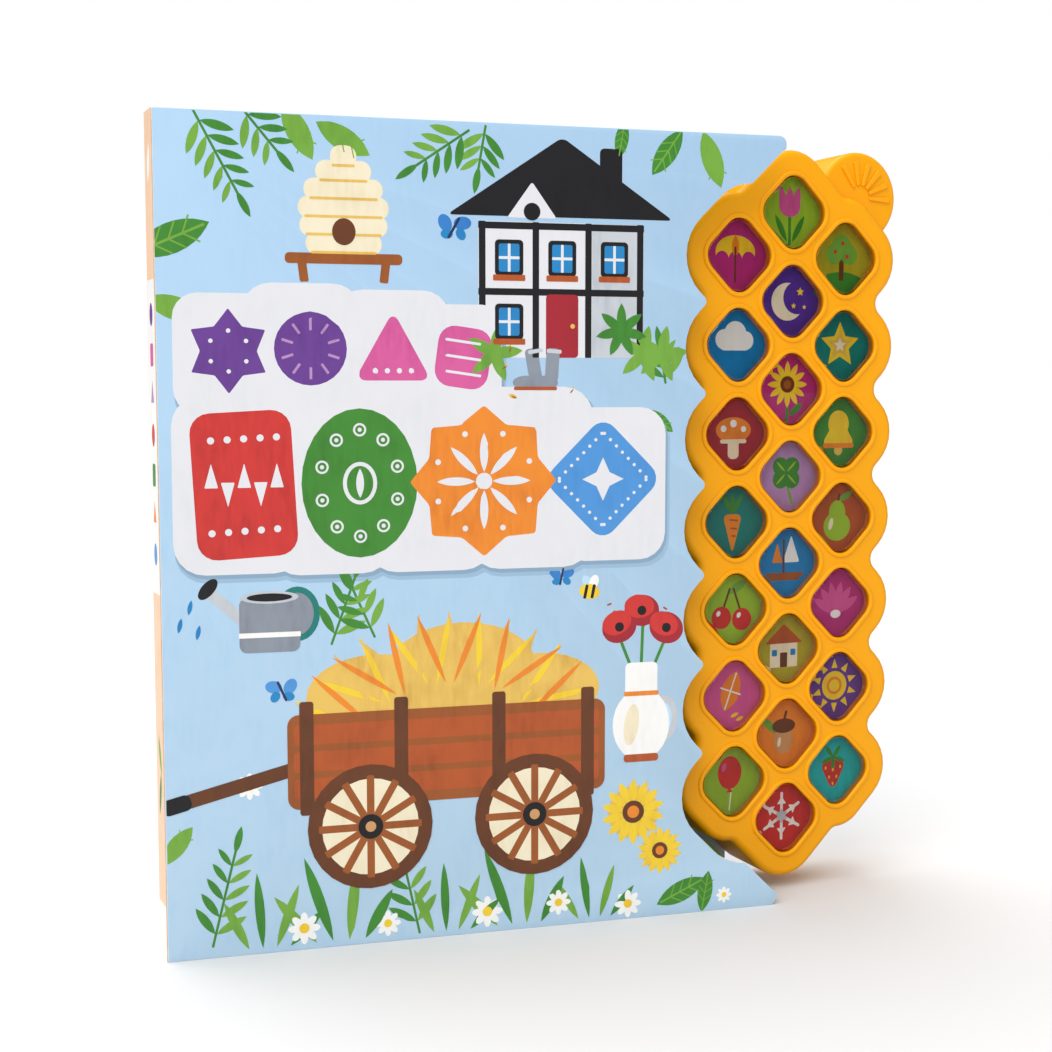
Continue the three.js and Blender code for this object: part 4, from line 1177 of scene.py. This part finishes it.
def jug_of_poppies(p, x, z, size):
    p.move_to(x, z, size)
    for across, rise, turn in ((-9, 30, -22), (0, 36, 2), (10, 29, 24)):
        p.block("green", across / 2, rise / 2, 1.2, rise, turn, layer=1)
        p.disc("crimson", across, rise, 14, 12, turn, layer=3)
        p.disc("red", across - 1, rise + 1.6, 12, 9, turn, layer=4)
        p.disc("black", across, rise, 3.6, layer=5)
    p.disc("silver", 9, -6, 12, 18, layer=3)
    p.disc("sky", 9, -6, 7, 12, layer=4)
    p.disc("white", 0, -8, 23, 28, layer=5)
    p.block("white", 0, 8, 13, 16, layer=5, soft=0.15)
    p.disc("cream", -4, -8, 6, 16, 8, layer=6)
    p.block("rust", 0, -21, 14, 3, layer=6, soft=0.4)
    p.block("orange", 0, 4, 14, 1.8, layer=6, soft=0.4)


def big_sunflower(p, x, z, size):
    p.move_to(x, z, size)
    p.ring_of(p.leaf, 14, 0, 0, 7.4, ink_name="yellow", wide=4, tall=8.6, layer=2)
    p.ring_of(p.leaf, 14, 0, 0, 5.8, start=13, ink_name="straw", wide=3.4, tall=8, layer=1)
    p.disc("bark", 0, 0, 8, layer=3)
    p.disc("orange", 0, 0, 4.4, layer=4)


def bee_trail(p, x, z, size):
    p.move_to(x, z, size)
    p.disc("sky", -1, 4, 4, 6, -30, layer=2)
    p.disc("white", 2, 4, 4, 6, 20, layer=2)
    p.disc("yellow", 0, 0, 9, 6.4, 12, layer=3)
    for shift in (-1.6, 1.6):
        p.block("black", shift, 0, 1.3, 6, 12, layer=4, soft=0.4)
    for step in range(9):
        turn = 20 + 16 * step
        rise, across = around(turn, -14, -1, 22)
        p.block("rust", across, rise, 0.8, 2, 90 - turn, layer=1)


def boots(p, x, z, size):
    p.move_to(x, z, size)
    for number, (across, turn) in enumerate(((0, -10), (10, 4))):
        p.block("grey", across, 4, 7, 17, turn, layer=2 + 3 * number, soft=0.3)
        p.disc("grey", across - 4, -5, 14, 7, layer=2 + 3 * number)
        p.block("silver", across + 1, 11, 8, 2, turn, layer=3 + 3 * number, soft=0.4)
        p.block("rust", across - 4, -8, 13, 1.8, layer=4 + 3 * number, soft=0.4)
    for across, rise, turn in ((-13, 12, 20), (-16, 3, 60), (-11, -12, 110), (18, 15, -30), (20, -9, 40)):
        p.leaf("straw", across, rise, 3, 5, turn, 3)
        p.leaf("brown", across + 0.6, rise - 0.4, 1, 3, turn, 4)


# %% The title shield and its plain shapes
SHIELD_TONES = (("shade_faint", 2.2, 1.6), ("shade", 1.2, 0.6), ("paper", 0, 0))
SHIELD_LOBES = [(-70, -8, 48, 66), (-36, -7, 46, 70), (2, -8, 50, 68), (42, -7, 50, 70), (75, -10, 44, 60),
                (-74, 40, 38, 44), (-46, 42, 44, 48), (-12, 41, 44, 46), (14, 38, 32, 42)]


def shield(p):
    """A white shield with round lobes and a soft shadow. It holds shapes where a title would stand."""
    for step, (name, drop, margin) in enumerate(SHIELD_TONES):
        for across, rise, wide, tall in SHIELD_LOBES:
            spot = across + drop / 2, rise - drop
            p.block(name, *spot, wide + margin, tall + margin, layer=1 + step, soft=0.24)


def dots(p, ink_name, x, z, count, pitch, size, turn=0, layer=6):
    for step in range(count):
        p.disc(ink_name, *around(turn + 90, (step - (count - 1) / 2) * pitch, x, z), size, layer=layer)


def title_shapes(p):
    p.block("red", -68, -8, 37, 54, -3, layer=4, soft=0.2)
    for rise in (-25, 9):
        dots(p, "paper", -68, rise, 5, 6, 2.6, -3)
    for step in range(5):
        p.wedge("paper", -80 + step * 6, -8 + (-1) ** step * 2, 5, 9, 180 * (step % 2), layer=5, soft=0.08)
    p.disc("green", -25, -8, 44, 56, layer=4)
    for turn in range(0, 360, 36):
        across, rise = around(turn, 15, x=-25)[0], around(turn, 20, z=-8)[1]
        for step, (name, size) in enumerate((("paper", 5), ("green", 3.4), ("paper", 1.6))):
            p.disc(name, across, rise, size, layer=5 + step)
    p.disc("paper", -25, -8, 13, 16, layer=5)
    p.disc("green", -25, -8, 10, 13, layer=6)
    p.leaf("paper", -25, -8, 4, 11, layer=7)
    p.star("orange", 23, -8, 58, points=8, waist=0.8, layer=4, soft=0.16)
    p.ring_of(p.leaf, 8, 23, -8, 11, ink_name="paper", wide=4.4, tall=15, layer=5)
    p.ring_of(p.disc, 8, 23, -8, 19.5, start=22.5, ink_name="paper", wide=2.2, layer=5)
    p.disc("paper", 23, -8, 6.4, layer=6)
    p.block("cornflower", 71, -8, 35, 35, 45, layer=4, soft=0.18)
    for turn in (45, 135):
        for side in (-13, 13):
            dots(p, "paper", *around(turn, side, 71, -8), 8, 3.5, 1.3, turn)
    p.star("paper", 71, -8, 17, points=4, waist=0.45, layer=5)
    p.star("purple", -73, 41, 31, points=6, waist=0.66, layer=4, soft=0.1)
    p.ring_of(p.disc, 6, -73, 41, 7.4, ink_name="paper", wide=1.6, layer=5)
    p.disc("purple", -43, 42, 27, layer=4)
    p.ring_of(p.block, 10, -43, 42, 9, ink_name="lilac", wide=1, tall=4.4, layer=5)
    p.wedge("pink", -12, 39, 29, 26, layer=4, soft=0.16)
    dots(p, "paper", -12, 34, 4, 4.6, 2)
    p.block("pink", 15, 39, 21, 23, 8, layer=4, soft=0.3)
    for rise in (33, 39, 45):
        p.block("paper", 15, rise, 14, 1, 8, layer=5, soft=0.4)


# %% Lay out the cover
def plants(p):
    for place in ((14, 300, 32, 152, 5), (30, 302, 20, 140, 3), (112, 297, 24, 236, 4),
                  (118, 299, 16, 190, 3), (60, 112, 26, 20, 4), (76, 114, 20, -24, 3),
                  (188, 206, 13, -10, 3), (92, 2, 36, -12, 5), (16, 4, 36, 14, 5)):
        sprig(p, *place)
    for x, z, size, turn in ((50, 294, 20, 152), (66, 292, 20, 120), (188, 292, 19, 215), (206, 290, 20, 160),
                             (6, 256, 26, 66), (7, 232, 20, 108), (170, 296, 13, 190), (196, 9, 20, 66),
                             (206, 8, 15, 10), (4, 42, 16, 40), (186, 192, 12, 130)):
        broad_leaf(p, x, z, size, turn, "green" if turn % 4 else "leaf")
    for x, height, lean in ((36, 30, 8), (62, 36, -6), (104, 28, 10), (130, 34, -8), (160, 26, 4)):
        grass(p, x, 1, height, lean)
    for place in ((49, 8, 11), (80, 7, 9), (118, 8, 11), (146, 9, 9), (174, 6, 10), (30, 62, 9), (214, 6, 6)):
        daisy(p, *place)
    for place in ((106, 262, 13, "blue", 30), (42, 96, 12, "cornflower", -24), (147, 134, 10, "blue", 12)):
        butterfly(p, *place)


def garden(p):
    beehive(p, 66, 268, 1.05)
    boots(p, 136, 210, 0.72)
    watering_can(p, 38, 122, 0.9)
    hay_cart(p, 104, 58, 1.16)
    jug_of_poppies(p, 179, 84, 1.0)
    big_sunflower(p, 176, 42, 1.1)
    big_sunflower(p, 187, 26, 0.8)
    bee_trail(p, 158, 128, 0.9)


def big_house(p):
    white_house(p, 147, 246, 1.45)


def title(p):
    p.move_to(95, 178, 0.96)
    shield(p)
    title_shapes(p)


# %% Print the cover and trim the print
PRINT_SLACK = 0.05 * MM


def printed_sheet(face, start, draw):
    """A new sheet whose print faces the front; start is the corner that the picture is measured from."""
    let_go()
    bpy.ops.object.add(type="MESH", enter_editmode=True)
    sheet = bpy.context.object
    draw(Press(sheet, face, start))
    outwards()
    return sheet


def trim(sheet):
    """Cuts a print along the board's straight edges, a hair inside their rounding."""
    hold(sheet)
    bpy.ops.object.mode_set(mode="EDIT")
    inside = 2 * BOARD_EDGE
    for spot, away in (((SPINE_SIDE + inside, 0, 0), (-1, 0, 0)), ((FORE_EDGE - inside, 0, 0), (1, 0, 0)),
                       ((0, 0, inside), (0, 0, -1)), ((0, 0, HEIGHT - inside), (0, 0, 1))):
        bpy.ops.mesh.select_all(action="SELECT")
        bpy.ops.mesh.bisect(plane_co=spot, plane_no=away, clear_outer=True)
    let_go()


def tuck_in(sheet):
    """Slides what hangs over the notch back onto the board, as if the print were cut with it."""
    away = Vector((-math.sin(COVER_ANGLE), -math.cos(COVER_ANGLE), 0))
    moved = 0
    for vertex in sheet.data.vertices:
        gap = vertex.co - cover.closest_point_on_mesh(vertex.co)[1]
        over = gap - away * gap.dot(away)
        if over.length > PRINT_SLACK:
            vertex.co -= over + over.normalized() * BOARD_EDGE
            moved += 1
    return moved


for name, draw in (("cover_plants", plants), ("cover_house", big_house), ("cover_garden", garden),
                   ("cover_title", title)):
    sheet = printed_sheet(COVER_FACE, CORNER, draw)
    trim(sheet)
    settle(open_cover(sheet), name)
    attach(sheet, "front_cover")
    print(name, len(sheet.data.polygons), "faces,", tuck_in(sheet), "points tucked in")

# %% [markdown]
# ## The spine, the leaves and the back cover
# The CAD pieces are already the right shape here. They take a board finish on their cut edges and a print on
# their broad sides, told apart by how deep a point lies in the piece. The spine gets its own printed strip, a
# white field with small coloured shapes on a peach ground, and the first page and the back get a picture.

# %% Board with printed sides
SKIN = 0.02 * MM


def printed_board(name, front, back, low, high):
    """Cut board along the edges, and a print on each of the two broad sides."""
    made, tree, shader = fresh_material(name)
    depth = node(tree, "SeparateXYZ", {0: placed(tree)}).outputs["Y"]
    board = node(tree, "Group", {"Colour": colour("f2efe8"), "Fleck": colour("b9b2a4")}, node_tree=fibred)
    surface = board.outputs["Colour"]
    for ink_name, level, compare in ((front, low + SKIN, "LESS_THAN"), (back, high - SKIN, "GREATER_THAN")):
        shown, deeper = (colour(code) for code in INKS[ink_name])
        effect = node(tree, "Group", {"Colour": shown, "Deeper": deeper}, node_tree=printed)
        on_side = node(tree, "Math", {0: depth, 1: level}, operation=compare)
        surface = mix(tree, on_side.outputs[0], surface, effect.outputs["Colour"])
    tree.links.new(surface, shader.inputs["Base Color"])
    emboss(tree, shader, board.outputs["Height"], 0.2, SKIN)
    shader.inputs["Roughness"].default_value = 0.5
    return made


def finish_node(name, material):
    """Puts a material on every slot of a CAD node."""
    for slot in frame["nodes"][name].material_slots:
        slot.material = material


for name, front in (("page_block", "lime"), ("back_cover", "sky")):
    low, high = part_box(name)
    finish_node(name, printed_board(name + "_board", front, "sky", low.y, high.y))
finish_node("spine", ink_of("peach"))

# %% Print the spine
ORIGIN = Vector((0, 0, 0))
FIELD_WIDTH = 0.93 * (SPINE_HIGH.y - SPINE_LOW.y) / MM


def spine_strip(p):
    p.block("white", 0, 187, FIELD_WIDTH, 110, layer=1, soft=0.02)
    p.leaf("white", 0, 282, 5, 13, 8, layer=1)
    p.block("white", 0, 10, FIELD_WIDTH, 20, layer=1, soft=0.02)
    for step, name in enumerate(("purple", "pink", "lilac", "red", "green", "orange", "cornflower")):
        (p.disc, p.block, p.wedge)[step % 3](name, 0, 230 - step * 14, 5, 8, layer=2)
    p.leaf("green", 0, 60, 4, 16, 12, 1)
    p.leaf("leaf", 0.6, 74, 4, 14, -16, 1)


def wrap(sheet, angle, name):
    """Turns a sheet from the front to the side it belongs on."""
    hold(sheet)
    if angle:
        bpy.ops.transform.rotate(value=angle, orient_axis="Z", center_override=ORIGIN)
    settle(sheet, name)
    print(name, len(sheet.data.polygons), "faces")
    return sheet


strip = wrap(printed_sheet(SPINE_SIDE, ORIGIN, spine_strip), math.pi / 2, "spine_strip")
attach(strip, "pages")

# %% Print the first page and the back
def meadow(p):
    """The first page: a row of trees and fence posts on the green, and flowers in the grass."""
    for x, size in ((40, 1.0), (92, 1.3), (150, 1.1)):
        p.move_to(x, 190, size)
        p.block("bark", 0, -16, 7, 44, layer=1)
        p.disc("green", 0, 20, 46, 40, layer=2)
        p.disc("leaf", -10, 26, 22, 20, layer=3)
    for x in range(22, 190, 14):
        p.move_to(x, 120)
        p.block("cream", 0, 0, 5, 30, layer=2, soft=0.3)
        p.block("cream", 7, 5, 15, 3, layer=1)
        p.block("cream", 7, -6, 15, 3, layer=1)
    for place in ((30, 40, 16), (66, 70, 13), (104, 34, 17), (140, 66, 12), (172, 40, 15)):
        daisy(p, *place)
    for x in (48, 86, 124, 160):
        grass(p, x, 8, 34)


def back_print(p):
    """The back: leaf sprigs at the corners, and a plain white field with a row of small shapes."""
    for place in ((24, 280, 34, 120), (206, 282, 34, -130), (22, 14, 36, 30), (200, 12, 36, -24)):
        sprig(p, *place)
    p.move_to(118, 170)
    p.block("paper", 0, 0, 130, 64, layer=1, soft=0.2)
    row = ((p.disc, "purple"), (p.block, "pink"), (p.star, "red"), (p.disc, "green"), (p.block, "orange"),
           (p.star, "cornflower"))
    for step, (shape, name) in enumerate(row):
        size = {"wide": 14, "tall": 14} if shape == p.block else {"wide": 14}
        shape(name, -48 + step * 19, 0, layer=2, **size)


page_print = wrap(printed_sheet(PAGES_LOW.y, CORNER, meadow), 0, "page_print")
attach(page_print, "pages")
back = wrap(printed_sheet(-BACK_FACE, Vector((-FORE_EDGE, 0, 0)), back_print), math.pi, "back_print")
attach(back, "root")

# %% [markdown]
# ## What the case holds
# The rear housing and the battery door are the same amber plastic as the front. Inside are the rubber keypad,
# a green circuit board with its chip, the speaker, two leads, three cells, springy contacts and small screws.
# Each gets a node material, for when the case is opened.

# %% Finish the inner parts
TRACK_SCALE, RING_SCALE, BRUSH_SCALE, BRUSH_STRETCH, BRUSH_RANGE = 90, 420, 1260, (1, 0.1, 1), 0.8
ACROSS_ONLY = (1, 0, 1)


def plastic(name, code, shade, bump):
    return finish_with(moulded, name, {"Colour": colour(code), "Shade": shade}, bump=bump)


def laminate():
    """Green lacquer over a grid of copper tracks."""
    made, tree, shader = fresh_material("green_laminate")
    tracks = node(tree, "TexBrick", {"Vector": placed(tree, ACROSS_ONLY), "Scale": TRACK_SCALE,
                                     "Mortar Size": 0.06, "Mortar": colour("2f8f4c"),
                                     "Color1": colour("0e5a2c"), "Color2": colour("126634")})
    tree.links.new(tracks.outputs["Color"], shader.inputs["Base Color"])
    emboss(tree, shader, tracks.outputs["Fac"], 0.4, 0.04 * MM)
    shader.inputs["Roughness"].default_value = 0.28
    return made


def metal(name, code, roughness):
    """Brushed or turned metal: its roughness drifts with a stretched noise."""
    made, tree, shader = fresh_material(name)
    shader.inputs["Base Color"].default_value = colour(code)
    shader.inputs["Metallic"].default_value = 1.0
    brushed = noise(tree, BRUSH_SCALE, stretch=BRUSH_STRETCH)
    drift = ranged(tree, brushed, roughness * BRUSH_RANGE, roughness / BRUSH_RANGE)
    tree.links.new(drift, shader.inputs["Roughness"])
    return made


def cone_paper():
    """Dark pressed paper with fine rings round the speaker's axis."""
    made, tree, shader = fresh_material("cone_paper")
    middle = centre("speaker_cone")
    place = placed(tree, ACROSS_ONLY, (-middle.x, 0, -middle.z))
    rings = node(tree, "TexWave", {"Vector": place, "Scale": RING_SCALE, "Distortion": 0.4},
                 wave_type="RINGS", rings_direction="SPHERICAL").outputs["Fac"]
    shade = mix(tree, rings, colour("16181c"), colour("34363c"))
    tree.links.new(shade, shader.inputs["Base Color"])
    emboss(tree, shader, rings, 0.5, 0.05 * MM)
    shader.inputs["Roughness"].default_value = 0.85
    return made


STEEL, BRASS = metal("zinc_steel", "b8bcc2", 0.3), metal("contact_brass", "c9a858", 0.28)
CELL = metal("cell_can", "cfd2d6", 0.18)
FINISHES = {
    "rear_housing": HOUSING, "battery_door": HOUSING,
    "circuit_board": laminate(), "speaker_cone": cone_paper(),
    "keypad_membrane": plastic("keypad_rubber", "c9cdd0", 0.6, 0.3),
    "chip_blob": plastic("chip_resin", "14141a", 0.5, 0.3),
    "speaker_lead_red": plastic("red_lead", "c41f1f", 0.4, 0.2),
    "speaker_lead_black": plastic("black_lead", "17171b", 0.4, 0.2),
    "speaker_frame": STEEL, "speaker_magnet": metal("magnet", "6f747c", 0.45),
    "door_contact": BRASS, "floor_contact": BRASS, "door_screw": STEEL,
}
FINISHES |= {f"case_screw_{number}": STEEL for number in range(1, 7)}
FINISHES |= {f"button_cell_{number}": CELL for number in range(1, 4)}
for name, material in FINISHES.items():
    finish_node(name, material)
left_out = [name for name in frame["nodes"] if name not in FINISHES and not name.startswith("button_")]
print(len(FINISHES), "nodes finished; the others:", left_out)
